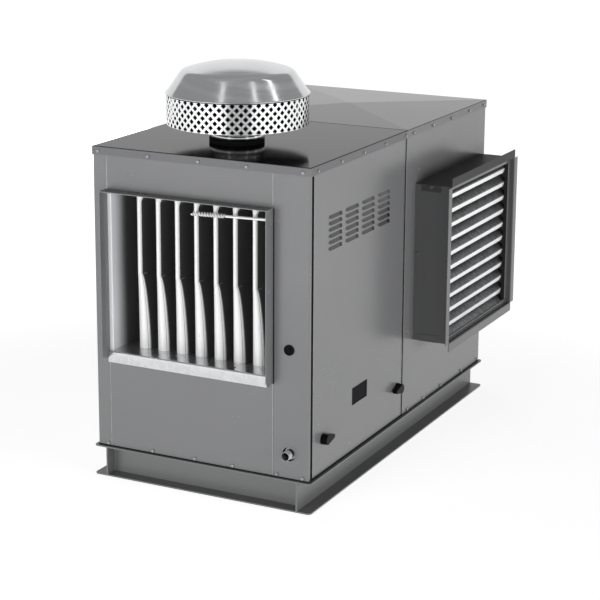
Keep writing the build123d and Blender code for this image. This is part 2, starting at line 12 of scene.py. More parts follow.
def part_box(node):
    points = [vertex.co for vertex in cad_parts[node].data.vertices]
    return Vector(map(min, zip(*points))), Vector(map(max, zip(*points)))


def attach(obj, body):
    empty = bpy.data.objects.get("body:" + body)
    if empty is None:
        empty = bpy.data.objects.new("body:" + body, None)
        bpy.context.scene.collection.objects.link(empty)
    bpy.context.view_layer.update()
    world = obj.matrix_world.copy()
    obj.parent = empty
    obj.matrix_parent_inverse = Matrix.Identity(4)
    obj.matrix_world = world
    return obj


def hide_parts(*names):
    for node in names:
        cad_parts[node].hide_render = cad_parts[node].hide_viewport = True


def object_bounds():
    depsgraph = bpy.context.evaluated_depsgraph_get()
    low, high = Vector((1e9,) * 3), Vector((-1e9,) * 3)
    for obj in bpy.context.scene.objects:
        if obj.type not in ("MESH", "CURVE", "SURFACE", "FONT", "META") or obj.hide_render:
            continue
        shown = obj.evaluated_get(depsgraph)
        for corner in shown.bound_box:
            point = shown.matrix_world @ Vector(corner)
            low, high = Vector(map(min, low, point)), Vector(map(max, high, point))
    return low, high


bl_info = {
    "name": "Duct Gas Heater",
    "version": (1, 0, 0),
    "blender": (4, 5, 0),
    "location": "View3D > Sidebar > Heater",
    "description": "Finishes, small hardware and a studio stage for an outdoor duct gas heater",
    "category": "Add Mesh",
}

SEED = 7

# Columns of pressed louvres on the access panel: start of the one before the first, and pitch
LOUVRE_START = 0.0035
LOUVRE_PITCH = 0.103

# Nodes whose sheet looks different from the rest of their slot
OWN_FINISH = {
    "heater_roof": "roof_paint",
    "inlet_roof": "rear_roof_paint",
    "liner_left": "liner_zinc",
    "liner_right": "liner_zinc",
    "louvre_blades": "blade_zinc_shade_and_highlight",
    # The roof collar's black is partly its black sealant and partly painted shade
    "roof_collar": "soot_and_shade",
    "hood_top": "shaded_paint",
    "access_panel": "louvred_paint",
}

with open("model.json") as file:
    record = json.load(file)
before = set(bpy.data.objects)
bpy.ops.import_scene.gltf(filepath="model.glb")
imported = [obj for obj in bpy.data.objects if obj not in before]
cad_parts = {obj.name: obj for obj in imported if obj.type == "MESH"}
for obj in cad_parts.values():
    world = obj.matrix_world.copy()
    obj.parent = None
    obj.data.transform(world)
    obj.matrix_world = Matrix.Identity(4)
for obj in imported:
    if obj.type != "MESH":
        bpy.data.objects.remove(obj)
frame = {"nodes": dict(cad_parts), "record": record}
nodes = frame["nodes"]
cad_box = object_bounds()

# Places read from the frame, in metres
front_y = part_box("front_panel_upper")[0].y
right_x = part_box("inlet_panel_right")[1].x
left_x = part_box("inlet_panel_left")[0].x
rear_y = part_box("rear_panel")[1].y
cabinet_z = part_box("heater_floor")[0].z
front_roof_low, front_roof_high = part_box("heater_roof")
rear_roof_low, rear_roof_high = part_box("inlet_roof")
joint_y = front_roof_high.y
vent_low, vent_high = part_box("vent_band")
vent_centre = (vent_low + vent_high) / 2


def colour_property(name, description, default):
    """A colour that the user can set, in linear red, green and blue."""
    return FloatVectorProperty(
        name=name, description=description, subtype="COLOR", size=3, min=0.0, max=1.0, default=default
    )


def length_property(name, description, default):
    """A length that the user can set, in metres."""
    return FloatProperty(
        name=name, description=description, unit="LENGTH", subtype="DISTANCE", min=0.0, default=default
    )


def power_property(name, description, default):
    """A lamp's power that the user can set, in watts."""
    return FloatProperty(name=name, description=description, unit="POWER", min=0.0, default=default)


class HeaterFinishes(PropertyGroup):
    """Colours and grain sizes of the painted and the bare sheets."""

    cabinet_colour: colour_property("Cabinet enamel", "Grey enamel of the cabinet", (0.190, 0.192, 0.196))
    # Painted shade: the near-black colour of the roof's top stands in for the shade from above
    roof_top_shade: colour_property("Roof enamel", "Glossier enamel of the roof", (0.016, 0.016, 0.017))
    rail_colour: colour_property("Rail enamel", "Grey enamel of the base rails", (0.155, 0.157, 0.157))
    # Painted shade: the hood's enamel is set darker than the cabinet's in place of the cabinet's shadow on it
    hood_shade_colour: colour_property("Hood enamel", "Grey enamel of the intake hood", (0.105, 0.106, 0.109))
    zinc_colour: colour_property("Zinc", "Galvanised sheet", (0.60, 0.61, 0.63))
    exchanger_colour: colour_property("Aluminised steel", "Heat exchanger sheet", (0.95, 0.95, 0.95))
    aluminium_colour: colour_property("Aluminium", "Spun vent cap", (0.62, 0.63, 0.64))
    pipe_colour: colour_property("Pipe steel", "Bare pipe end", (0.46, 0.46, 0.46))
    peel_size: length_property("Orange peel", "Width of one dimple in the enamel", 0.0022)
    # Painted highlight: how far the paler band painted along each edge reaches
    edge_width: length_property("Edge width", "How far the paler paint reaches from an edge", 0.0014)
    spangle_size: length_property("Spangle", "Width of one zinc crystal", 0.011)
    ring_pitch: length_property("Spinning rings", "Distance between two tool marks on the cap", 0.0030)


class HeaterHardware(PropertyGroup):
    """Sizes of the screws, the sensor's coil, the pipe thread and the weld beads."""

    screw_across: length_property("Across flats", "Hexagon head of the sheet screws", 0.0079)
    screw_washer: length_property("Washer radius", "Washer face under the head", 0.0048)
    screw_height: length_property("Head height", "Head above the sheet", 0.0042)
    coil_wire: length_property("Coil wire", "Radius of the wire on the limit sensor", 0.0024)
    coil_turns: IntProperty(name="Coil turns", description="Turns of wire on the sensor", default=12, min=4)
    thread_pitch: length_property("Thread pitch", "Pitch of the pipe thread, 14 to the inch", 0.001814)
    thread_depth: length_property("Thread depth", "Depth of the pipe thread", 0.0011)
    bead_radius: length_property("Weld bead", "Radius of the weld beads on the base", 0.0032)


class HeaterStage(PropertyGroup):
    """Camera, lamps and floor."""

    camera_place: FloatVectorProperty(
        name="Camera place",
        description="Where the camera stands",
        subtype="TRANSLATION",
        unit="LENGTH",
        default=(2.3541, -4.0842, 1.8566),
    )
    camera_yaw: FloatProperty(
        name="Camera yaw", description="Turn to the left", unit="ROTATION", default=radians(26.70)
    )
    camera_pitch: FloatProperty(
        name="Camera pitch", description="Tilt down", unit="ROTATION", default=radians(13.65)
    )
    camera_roll: FloatProperty(
        name="Camera roll", description="Roll about the line of sight", unit="ROTATION", default=radians(0.31)
    )
    focal_length: FloatProperty(
        name="Focal length", description="Lens for a sensor 36 mm wide", unit="CAMERA", default=109.89
    )
    frame_shift: FloatProperty(
        name="Frame shift", description="Vertical shift as a share of the frame", default=-0.1
    )
    key_power: power_property("Key lamp", "Large soft lamp at the front", 96.0)
    fill_power: power_property("Fill lamp", "Large soft lamp at the right", 92.0)
    side_power: power_property("Side lamp", "Narrow soft lamp between the two", 45.0)
    rear_power: power_property("Rear lamp", "Large soft lamp for the rear and the left side", 80.0)
    floor_size: length_property("Floor size", "Width of the floor", 60.0)


def settings():
    """The three groups of settings on the current scene."""
    scene = bpy.context.scene
    return scene.heater_finishes, scene.heater_hardware, scene.heater_stage


# Shader helpers


def add_node(tree, kind, values=None, **options):
    """A shader node with its options, and with numbers, colours or links on its inputs."""
    made = tree.nodes.new(kind)
    for option, value in options.items():
        setattr(made, option, value)
    for socket, value in (values or {}).items():
        if isinstance(value, bpy.types.NodeSocket):
            tree.links.new(value, made.inputs[socket])
        else:
            made.inputs[socket].default_value = value
    return made


def maths(tree, operation, first, second=0.0, clamp=False):
    """The output of a Math node."""
    return add_node(tree, "ShaderNodeMath", {0: first, 1: second}, operation=operation, use_clamp=clamp).outputs[0]


def mix_colours(tree, share, first, second, blend="MIX"):
    """The colour output of a Mix node."""
    values = {0: share, 6: first, 7: second}
    return add_node(tree, "ShaderNodeMix", values, data_type="RGBA", blend_type=blend).outputs[2]


def mapped(tree, value, low, high, new_low, new_high, smooth=False):
    """A value stretched from one range to another and held at its ends."""
    values = {0: value, 1: low, 2: high, 3: new_low, 4: new_high}
    kind = "SMOOTHSTEP" if smooth else "LINEAR"
    return add_node(tree, "ShaderNodeMapRange", values, interpolation_type=kind).outputs[0]


def noise(tree, place, scale, detail=3.0, roughness=0.5, distortion=0.0):
    """The value of a Noise texture, near 0.5 on average."""
    values = {
        "Vector": place,
        "Scale": scale,
        "Detail": detail,
        "Roughness": roughness,
        "Distortion": distortion,
    }
    return add_node(tree, "ShaderNodeTexNoise", values).outputs[0]


def opaque(colour):
    """A colour with full alpha."""
    return (*colour, 1.0)


def new_group(name, inputs, outputs):
    """An empty shader group with its sockets: name, kind and first value for each input."""
    group = bpy.data.node_groups.new(name, "ShaderNodeTree")
    for label, kind, value in inputs:
        socket = group.interface.new_socket(name=label, in_out="INPUT", socket_type=kind)
        socket.default_value = value
    for label, kind in outputs:
        group.interface.new_socket(name=label, in_out="OUTPUT", socket_type=kind)
    return group, group.nodes.new("NodeGroupInput").outputs, group.nodes.new("NodeGroupOutput").inputs


def shared_group(name, make):
    """The group of that name, made once."""
    return bpy.data.node_groups.get(name) or make(name)


def make_enamel_skin(name):
    """Sprayed enamel: faint cloudy shade, dimples of orange peel and uneven gloss."""
    group, given, result = new_group(
        name,
        [
            ("Colour", "NodeSocketColor", (0.2, 0.2, 0.2, 1.0)),
            ("Cloudiness", "NodeSocketFloat", 0.06),
            ("Peel Size", "NodeSocketFloat", 0.002),
            ("Gloss", "NodeSocketFloat", 0.35),
        ],
        [
            ("Colour", "NodeSocketColor"),
            ("Roughness", "NodeSocketFloat"),
            ("Height", "NodeSocketFloat"),
        ],
    )
    place = add_node(group, "ShaderNodeTexCoord").outputs["Object"]
    clouds = noise(group, place, 4.0, detail=5.0)
    low = maths(group, "SUBTRACT", 1.0, given["Cloudiness"])
    high = maths(group, "ADD", 1.0, given["Cloudiness"])
    shade = mapped(group, clouds, 0.3, 0.7, low, high)
    tint = add_node(group, "ShaderNodeCombineColor", {0: shade, 1: shade, 2: shade}).outputs[0]
    group.links.new(mix_colours(group, 1.0, given["Colour"], tint, "MULTIPLY"), result["Colour"])
    smears = noise(group, place, 11.0, detail=4.0)
    uneven = mapped(group, smears, 0.3, 0.7, -0.015, 0.015)
    group.links.new(maths(group, "ADD", given["Gloss"], uneven, clamp=True), result["Roughness"])
    peel_scale = maths(group, "DIVIDE", 1.0, given["Peel Size"])
    group.links.new(noise(group, place, peel_scale, detail=1.0), result["Height"])
    return group


def make_edge_highlight(name):
    """Painted highlight: a mask of the outer edges, painted paler in place of the light that they catch."""
    group, given, result = new_group(
        name,
        [
            ("Colour", "NodeSocketColor", (0.2, 0.2, 0.2, 1.0)),
            ("Highlight Colour", "NodeSocketColor", (0.4, 0.4, 0.4, 1.0)),
            ("Width", "NodeSocketFloat", 0.0014),
            ("Strength", "NodeSocketFloat", 0.6),
        ],
        [("Colour", "NodeSocketColor"), ("Mask", "NodeSocketFloat")],
    )
    rounded = add_node(group, "ShaderNodeBevel", {"Radius": given["Width"]}, samples=6).outputs[0]
    true_normal = add_node(group, "ShaderNodeNewGeometry").outputs["Normal"]
    agreement = add_node(
        group, "ShaderNodeVectorMath", {0: rounded, 1: true_normal}, operation="DOT_PRODUCT"
    ).outputs["Value"]
    edge = mapped(group, agreement, 0.98, 0.80, 0.0, 1.0)
    place = add_node(group, "ShaderNodeTexCoord").outputs["Object"]
    breaks = mapped(group, noise(group, place, 40.0, detail=4.0), 0.35, 0.6, 0.45, 1.0)
    mask = maths(group, "MULTIPLY", maths(group, "MULTIPLY", edge, breaks), given["Strength"])
    group.links.new(mask, result["Mask"])
    group.links.new(mix_colours(group, mask, given["Colour"], given["Highlight Colour"]), result["Colour"])
    return group


def make_dust(name):
    """Fine dust that settles on what faces up, thicker in clouds."""
    group, given, result = new_group(
        name,
        [
            ("Colour", "NodeSocketColor", (0.2, 0.2, 0.2, 1.0)),
            ("Roughness", "NodeSocketFloat", 0.35),
            ("Amount", "NodeSocketFloat", 0.15),
        ],
        [("Colour", "NodeSocketColor"), ("Roughness", "NodeSocketFloat")],
    )
    up = add_node(group, "ShaderNodeSeparateXYZ", {0: add_node(group, "ShaderNodeNewGeometry").outputs["Normal"]})
    level = mapped(group, up.outputs["Z"], 0.5, 1.0, 0.0, 1.0)
    place = add_node(group, "ShaderNodeTexCoord").outputs["Object"]
    clouds = mapped(group, noise(group, place, 7.0, detail=8.0, roughness=0.65), 0.38, 0.68, 0.2, 1.0)
    mask = maths(group, "MULTIPLY", maths(group, "MULTIPLY", level, clouds), given["Amount"])
    dust_colour = (0.42, 0.41, 0.39, 1.0)
    dull = 0.8
    group.links.new(mix_colours(group, mask, given["Colour"], dust_colour), result["Colour"])
    group.links.new(
        add_node(group, "ShaderNodeMix", {0: mask, 2: given["Roughness"], 3: dull}).outputs[0],
        result["Roughness"],
    )
    return group


def make_spangle(name):
    """Zinc crystals: each cell has its own shade and gloss, with fine scratches over them."""
    group, given, result = new_group(
        name,
        [
            ("Colour", "NodeSocketColor", (0.6, 0.6, 0.6, 1.0)),
            ("Crystal Size", "NodeSocketFloat", 0.011),
            ("Contrast", "NodeSocketFloat", 0.16),
            ("Gloss", "NodeSocketFloat", 0.38),
        ],
        [
            ("Colour", "NodeSocketColor"),
            ("Roughness", "NodeSocketFloat"),
            ("Height", "NodeSocketFloat"),
        ],
    )
    place = add_node(group, "ShaderNodeTexCoord").outputs["Object"]
    scale = maths(group, "DIVIDE", 1.0, given["Crystal Size"])
    wander = add_node(group, "ShaderNodeTexNoise", {"Vector": place, "Scale": scale, "Detail": 2.0}).outputs[1]
    bend = add_node(group, "ShaderNodeVectorMath", {0: wander, 3: 0.006}, operation="SCALE").outputs[0]
    bent = add_node(group, "ShaderNodeVectorMath", {0: place, 1: bend}, operation="ADD").outputs[0]
    cells = add_node(group, "ShaderNodeTexVoronoi", {"Vector": bent, "Scale": scale})
    crystal = add_node(group, "ShaderNodeSeparateColor", {0: cells.outputs["Color"]}).outputs
    clouds = noise(group, place, 6.0, detail=4.0)
    both = maths(group, "ADD", maths(group, "MULTIPLY", crystal[0], 0.7), maths(group, "MULTIPLY", clouds, 0.6))
    low = maths(group, "SUBTRACT", 1.0, given["Contrast"])
    high = maths(group, "ADD", 1.0, given["Contrast"])
    shade = mapped(group, both, 0.2, 1.1, low, high)
    tint = add_node(group, "ShaderNodeCombineColor", {0: shade, 1: shade, 2: shade}).outputs[0]
    group.links.new(mix_colours(group, 1.0, given["Colour"], tint, "MULTIPLY"), result["Colour"])
    uneven = mapped(group, crystal[1], 0.0, 1.0, -0.08, 0.08)
    group.links.new(maths(group, "ADD", given["Gloss"], uneven, clamp=True), result["Roughness"])
    group.links.new(cells.outputs["Distance"], result["Height"])
    return group


def make_streaks(name):
    """Marks drawn out along Z, as rolling and handling leave on bright sheet."""
    group, given, result = new_group(
        name,
        [
            ("Colour", "NodeSocketColor", (0.6, 0.6, 0.6, 1.0)),
            ("Stain Colour", "NodeSocketColor", (0.3, 0.29, 0.28, 1.0)),
            ("Amount", "NodeSocketFloat", 0.3),
            ("Gloss", "NodeSocketFloat", 0.3),
        ],
        [
            ("Colour", "NodeSocketColor"),
            ("Roughness", "NodeSocketFloat"),
            ("Height", "NodeSocketFloat"),
        ],
    )
    place = add_node(group, "ShaderNodeTexCoord").outputs["Object"]
    drawn = add_node(group, "ShaderNodeMapping", {"Vector": place, "Scale": (90.0, 90.0, 5.0)}).outputs[0]
    marks = noise(group, drawn, 1.0, detail=6.0, roughness=0.6)
    patches = noise(group, place, 9.0, detail=5.0, roughness=0.6)
    both = maths(group, "MULTIPLY", mapped(group, marks, 0.35, 0.7, 0.0, 1.0), mapped(group, patches, 0.4, 0.7, 0.2, 1.0))
    mask = maths(group, "MULTIPLY", both, given["Amount"])
    group.links.new(mix_colours(group, mask, given["Colour"], given["Stain Colour"]), result["Colour"])
    uneven = mapped(group, marks, 0.3, 0.7, -0.07, 0.09)
    group.links.new(maths(group, "ADD", given["Gloss"], uneven, clamp=True), result["Roughness"])
    group.links.new(marks, result["Height"])
    return group


def make_spun_rings(name):
    """Tool marks of spinning: rings about an upright axis, uneven from ring to ring."""
    group, given, result = new_group(
        name,
        [
            ("Centre", "NodeSocketVector", (0.0, 0.0, 0.0)),
            ("Ring Pitch", "NodeSocketFloat", 0.003),
            ("Gloss", "NodeSocketFloat", 0.3),
        ],
        [("Shade", "NodeSocketFloat"), ("Roughness", "NodeSocketFloat"), ("Height", "NodeSocketFloat")],
    )
    place = add_node(group, "ShaderNodeTexCoord").outputs["Object"]
    offset = add_node(
        group, "ShaderNodeVectorMath", {0: place, 1: given["Centre"]}, operation="SUBTRACT"
    ).outputs[0]
    apart = add_node(group, "ShaderNodeSeparateXYZ", {0: offset}).outputs
    squares = maths(
        group, "ADD", maths(group, "POWER", apart[0], 2.0), maths(group, "POWER", apart[1], 2.0)
    )
    radius = maths(group, "SQRT", squares)
    travel = maths(group, "ADD", radius, maths(group, "MULTIPLY", apart[2], 0.8))
    turns = maths(group, "DIVIDE", travel, given["Ring Pitch"])
    rings = add_node(
        group, "ShaderNodeTexNoise", {"W": turns, "Scale": 1.0, "Detail": 2.0}, noise_dimensions="1D"
    ).outputs[0]
    group.links.new(mapped(group, rings, 0.3, 0.7, 0.90, 1.06), result["Shade"])
    smears = noise(group, place, 8.0, detail=4.0)
    uneven = maths(
        group, "ADD", mapped(group, rings, 0.3, 0.7, -0.05, 0.05), mapped(group, smears, 0.3, 0.7, -0.05, 0.05)
    )
    group.links.new(maths(group, "ADD", given["Gloss"], uneven, clamp=True), result["Roughness"])
    group.links.new(rings, result["Height"])
    return group


def use_group(tree, name, make, values):
    """One use of a shared group in a material, with its own values."""
    node = tree.nodes.new("ShaderNodeGroup")
    node.node_tree = shared_group(name, make)
    for socket, value in values.items():
        if isinstance(value, bpy.types.NodeSocket):
            tree.links.new(value, node.inputs[socket])
        else:
            node.inputs[socket].default_value = value
    return node.outputs


def new_material(name):
    """An empty material and its Principled shader."""
    material = bpy.data.materials.new(name)
    material.use_nodes = True
    return material, material.node_tree, material.node_tree.nodes["Principled BSDF"]


def wire(tree, shader, colour, roughness, height, bump_distance, bump_strength=1.0):
    """Feed a surface's colour, roughness and height into its shader."""
    tree.links.new(colour, shader.inputs["Base Color"])
    tree.links.new(roughness, shader.inputs["Roughness"])
    bump = add_node(
        tree, "ShaderNodeBump", {"Strength": bump_strength, "Distance": bump_distance, "Height": height}
    )
    tree.links.new(bump.outputs[0], shader.inputs["Normal"])


def enamel(name, colour, gloss, edge_highlight_strength, dust=0.06, specular=0.5):
    """Sprayed and baked enamel on sheet metal."""
    finishes = settings()[0]
    material, tree, shader = new_material(name)
    skin = use_group(
        tree,
        "Enamel Skin",
        make_enamel_skin,
        {
            "Colour": opaque(colour),
            "Cloudiness": 0.02,
            "Peel Size": finishes.peel_size,
            "Gloss": gloss,
        },
    )
    # Painted highlight: edges paler than the enamel
    edge_highlight_colour = tuple(min(1.0, 1.7 * channel + 0.03) for channel in colour)
    edge_lit = use_group(
        tree,
        "Edge Highlight",
        make_edge_highlight,
        {
            "Colour": skin["Colour"],
            "Highlight Colour": opaque(edge_highlight_colour),
            "Width": finishes.edge_width,
            "Strength": edge_highlight_strength,
        },
    )
    dusty = use_group(
        tree,
        "Dust",
        make_dust,
        {"Colour": edge_lit["Colour"], "Roughness": skin["Roughness"], "Amount": dust},
    )
    shader.inputs["IOR"].default_value = 1.5
    shader.inputs["Specular IOR Level"].default_value = specular
    wire(tree, shader, dusty["Colour"], dusty["Roughness"], skin["Height"], 0.00003)
    return material


def galvanised(name, colour, gloss, contrast, metallic=0.9):
    """Zinc coated sheet with its crystals."""
    finishes = settings()[0]
    material, tree, shader = new_material(name)
    zinc = use_group(
        tree,
        "Zinc Spangle",
        make_spangle,
        {
            "Colour": opaque(colour),
            "Crystal Size": finishes.spangle_size,
            "Contrast": contrast,
            "Gloss": gloss,
        },
    )
    # Painted highlight along the edges of the zinc
    edge_lit = use_group(
        tree,
        "Edge Highlight",
        make_edge_highlight,
        {
            "Colour": zinc["Colour"],
            "Highlight Colour": (0.85, 0.86, 0.87, 1.0),
            "Width": finishes.edge_width,
            "Strength": 0.6,
        },
    )
    shader.inputs["Metallic"].default_value = metallic
    wire(tree, shader, edge_lit["Colour"], zinc["Roughness"], zinc["Height"], 0.00004)
    return material


def bright_sheet(name, colour, gloss, stain, metallic=1.0):
    """Bare bright metal with drawn marks and light stains."""
    material, tree, shader = new_material(name)
    marks = use_group(
        tree,
        "Drawn Streaks",
        make_streaks,
        {"Colour": opaque(colour), "Amount": stain, "Gloss": gloss},
    )
    # Painted highlight along the edges of the bright metal
    edge_lit = use_group(
        tree,
        "Edge Highlight",
        make_edge_highlight,
        {
            "Colour": marks["Colour"],
            "Highlight Colour": (0.88, 0.88, 0.88, 1.0),
            "Width": settings()[0].edge_width,
            "Strength": 0.5,
        },
    )
    shader.inputs["Metallic"].default_value = metallic
    wire(tree, shader, edge_lit["Colour"], marks["Roughness"], marks["Height"], 0.00003)
    return material


def make_flank_shade(name):
    """Painted shade on the sheet: bright where a nose faces out, a thin dark line where the side faces at one slant,
    and the flanks and the depth behind the noses painted dark in place of their shade."""
    group, given, result = new_group(
        name,
        [("Colour", "NodeSocketColor", (0.9, 0.9, 0.9, 1.0))],
        [("Colour", "NodeSocketColor")],
    )
    normal = add_node(group, "ShaderNodeNewGeometry").outputs["Normal"]
    sideways = maths(group, "ABSOLUTE", add_node(group, "ShaderNodeSeparateXYZ", {0: normal}).outputs["X"])
    # Painted shade: sideways flanks and the depth behind the noses are painted dark
    flank_shade = mapped(group, sideways, 0.84, 0.99, 0.0, 0.93, smooth=True)
    slant_line = maths(group, "MULTIPLY", band_mask(group, sideways, 0.70, 0.02, 0.04), 0.55)
    place = add_node(group, "ShaderNodeSeparateXYZ", {0: add_node(group, "ShaderNodeTexCoord").outputs["Object"]})
    nose_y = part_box("heat_exchangers")[0].y
    depth_shade = mapped(group, place.outputs["Y"], nose_y + 0.019, nose_y + 0.034, 0.0, 0.93, smooth=True)
    share = maths(group, "MAXIMUM", maths(group, "MAXIMUM", flank_shade, slant_line), depth_shade)
    group.links.new(mix_colours(group, share, given["Colour"], (0.045, 0.043, 0.042, 1.0)), result["Colour"])
    return group


def clamshell(name, colour):
    """Aluminised steel, bright at the noses, with painted shade on the flanks and behind them."""
    material, tree, shader = new_material(name)
    marks = use_group(
        tree, "Drawn Streaks", make_streaks, {"Colour": opaque(colour), "Amount": 0.12, "Gloss": 0.34}
    )
    shade_painted = use_group(tree, "Flank Shade", make_flank_shade, {"Colour": marks["Colour"]})
    shader.inputs["Metallic"].default_value = 0.35
    wire(tree, shader, shade_painted["Colour"], marks["Roughness"], marks["Height"], 0.00002)
    return material


def liner_sheet(name, colour):
    """Pale zinc at the mouth of the passage, with painted shade that darkens it with depth."""
    material, tree, shader = new_material(name)
    marks = use_group(
        tree, "Drawn Streaks", make_streaks, {"Colour": opaque(colour), "Amount": 0.15, "Gloss": 0.42}
    )
    place = add_node(tree, "ShaderNodeSeparateXYZ", {0: add_node(tree, "ShaderNodeTexCoord").outputs["Object"]}).outputs
    # Painted shade: the zinc darkens with depth into the passage
    depth_shade = mapped(tree, place["Y"], 0.012, 0.085, 0.0, 0.93, smooth=True)
    shade_painted = mix_colours(tree, depth_shade, marks["Colour"], (0.05, 0.05, 0.05, 1.0))
    shader.inputs["Metallic"].default_value = 0.15
    wire(tree, shader, shade_painted, marks["Roughness"], marks["Height"], 0.00003)
    return material


def blade_sheet(name, colour, lip_highlight_colour):
    """Spangled zinc painted dark on the slopes of the blades as painted shade, with a painted highlight on the lips
    that lean to the floor.
    """
    material, tree, shader = new_material(name)
    zinc = use_group(
        tree,
        "Zinc Spangle",
        make_spangle,
        {"Colour": opaque(colour), "Crystal Size": settings()[0].spangle_size, "Contrast": 0.3, "Gloss": 0.45},
    )
    slope = add_node(tree, "ShaderNodeSeparateXYZ", {0: add_node(tree, "ShaderNodeNewGeometry").outputs["Normal"]})
    # Painted highlight on the lips that face down and out; the slopes keep the dark colour as painted shade
    lip = maths(
        tree,
        "MULTIPLY",
        mapped(tree, slope.outputs["Z"], 0.1, -0.1, 0.0, 1.0),
        mapped(tree, slope.outputs["X"], 0.3, 0.5, 0.0, 1.0),
    )
    shader.inputs["Metallic"].default_value = 0.8
    bright = mix_colours(tree, lip, zinc["Colour"], opaque(lip_highlight_colour))
    wire(tree, shader, bright, zinc["Roughness"], zinc["Height"], 0.00004)
    return material


def louvred_enamel(name, colour, gloss):
    """The cabinet's enamel, with painted shade on the slopes of the pressed louvres and painted black shade at their
    far ends.
    """
    material = enamel(name, colour, gloss, 0.75)
    tree = material.node_tree
    shader = tree.nodes["Principled BSDF"]
    skin = shader.inputs["Base Color"].links[0].from_socket
    place = add_node(tree, "ShaderNodeSeparateXYZ", {0: add_node(tree, "ShaderNodeTexCoord").outputs["Object"]}).outputs
    slope = add_node(tree, "ShaderNodeSeparateXYZ", {0: add_node(tree, "ShaderNodeNewGeometry").outputs["Normal"]})
    # Painted shade: the slopes of the louvres, which face up, are darkened
    leaning = mapped(tree, slope.outputs["Z"], 0.15, 0.30, 0.0, 1.0)
    proud = mapped(tree, place["X"], right_x + 0.0002, right_x + 0.0006, 0.0, 1.0)
    slope_shade = maths(tree, "MULTIPLY", leaning, proud)
    # Painted shade: the far end of each louvre's slope is painted black
    column = maths(tree, "MODULO", maths(tree, "SUBTRACT", place["Y"], LOUVRE_START), LOUVRE_PITCH)
    far = maths(tree, "MULTIPLY", mapped(tree, column, 0.062, 0.070, 0.0, 0.95), slope_shade)
    shaded = mix_colours(tree, maths(tree, "MULTIPLY", slope_shade, 0.72), skin, (0.028, 0.028, 0.030, 1.0))
    tree.links.new(mix_colours(tree, far, shaded, (0.002, 0.002, 0.002, 1.0)), shader.inputs["Base Color"])
    return material


def roof_enamel(name, specular):
    """The cabinet's enamel, glossier, on the roof's flanges and top, with the top painted near black as painted shade.
    """
    finishes = settings()[0]
    material = enamel(name, finishes.cabinet_colour, 0.10, 0.75, 0.02, specular)
    tree = material.node_tree
    shader = tree.nodes["Principled BSDF"]
    skin = shader.inputs["Base Color"].links[0].from_socket
    up = add_node(tree, "ShaderNodeSeparateXYZ", {0: add_node(tree, "ShaderNodeNewGeometry").outputs["Normal"]})
    # Painted shade: faces that look up take the near-black roof top colour
    top = mapped(tree, up.outputs["Z"], 0.3, 0.7, 0.0, 1.0)
    tree.links.new(mix_colours(tree, top, skin, opaque(finishes.roof_top_shade)), shader.inputs["Base Color"])
    return material


def spun_metal(name, colour, gloss):
    """Spun aluminium with tool rings about the vent's axis."""
    material, tree, shader = new_material(name)
    rings = use_group(
        tree,
        "Spun Rings",
        make_spun_rings,
        {
            "Centre": (vent_centre.x, vent_centre.y, 0.0),
            "Ring Pitch": settings()[0].ring_pitch,
            "Gloss": gloss,
        },
    )
    shade = rings["Shade"]
    tint = add_node(tree, "ShaderNodeCombineColor", {0: shade, 1: shade, 2: shade}).outputs[0]
    shader.inputs["Metallic"].default_value = 1.0
    wire(
        tree,
        shader,
        mix_colours(tree, 1.0, opaque(colour), tint, "MULTIPLY"),
        rings["Roughness"],
        rings["Height"],
        0.00004,
    )
    return material


def moulded(name, colour, gloss):
    """Black moulded plastic with a fine spark-eroded grain."""
    material, tree, shader = new_material(name)
    skin = use_group(
        tree,
        "Enamel Skin",
        make_enamel_skin,
        {"Colour": opaque(colour), "Cloudiness": 0.15, "Peel Size": 0.0006, "Gloss": gloss},
    )
    # Painted highlight along the edges of the plastic
    highlighted = use_group(
        tree,
        "Edge Highlight",
        make_edge_highlight,
        {
            "Colour": skin["Colour"],
            "Highlight Colour": (0.03, 0.03, 0.032, 1.0),
            "Width": 0.0008,
            "Strength": 0.7,
        },
    )
    shader.inputs["Specular IOR Level"].default_value = 0.05
    wire(tree, shader, highlighted["Colour"], skin["Roughness"], skin["Height"], 0.00003)
    return material


def dark_glass(name):
    """Dark sight glass with a few faint smears."""
    material, tree, shader = new_material(name)
    skin = use_group(
        tree,
        "Enamel Skin",
        make_enamel_skin,
        {"Colour": (0.012, 0.012, 0.014, 1.0), "Cloudiness": 0.2, "Peel Size": 0.02, "Gloss": 0.5},
    )
    shader.inputs["Specular IOR Level"].default_value = 0.02
    wire(tree, shader, skin["Colour"], skin["Roughness"], skin["Height"], 0.00002)
    return material


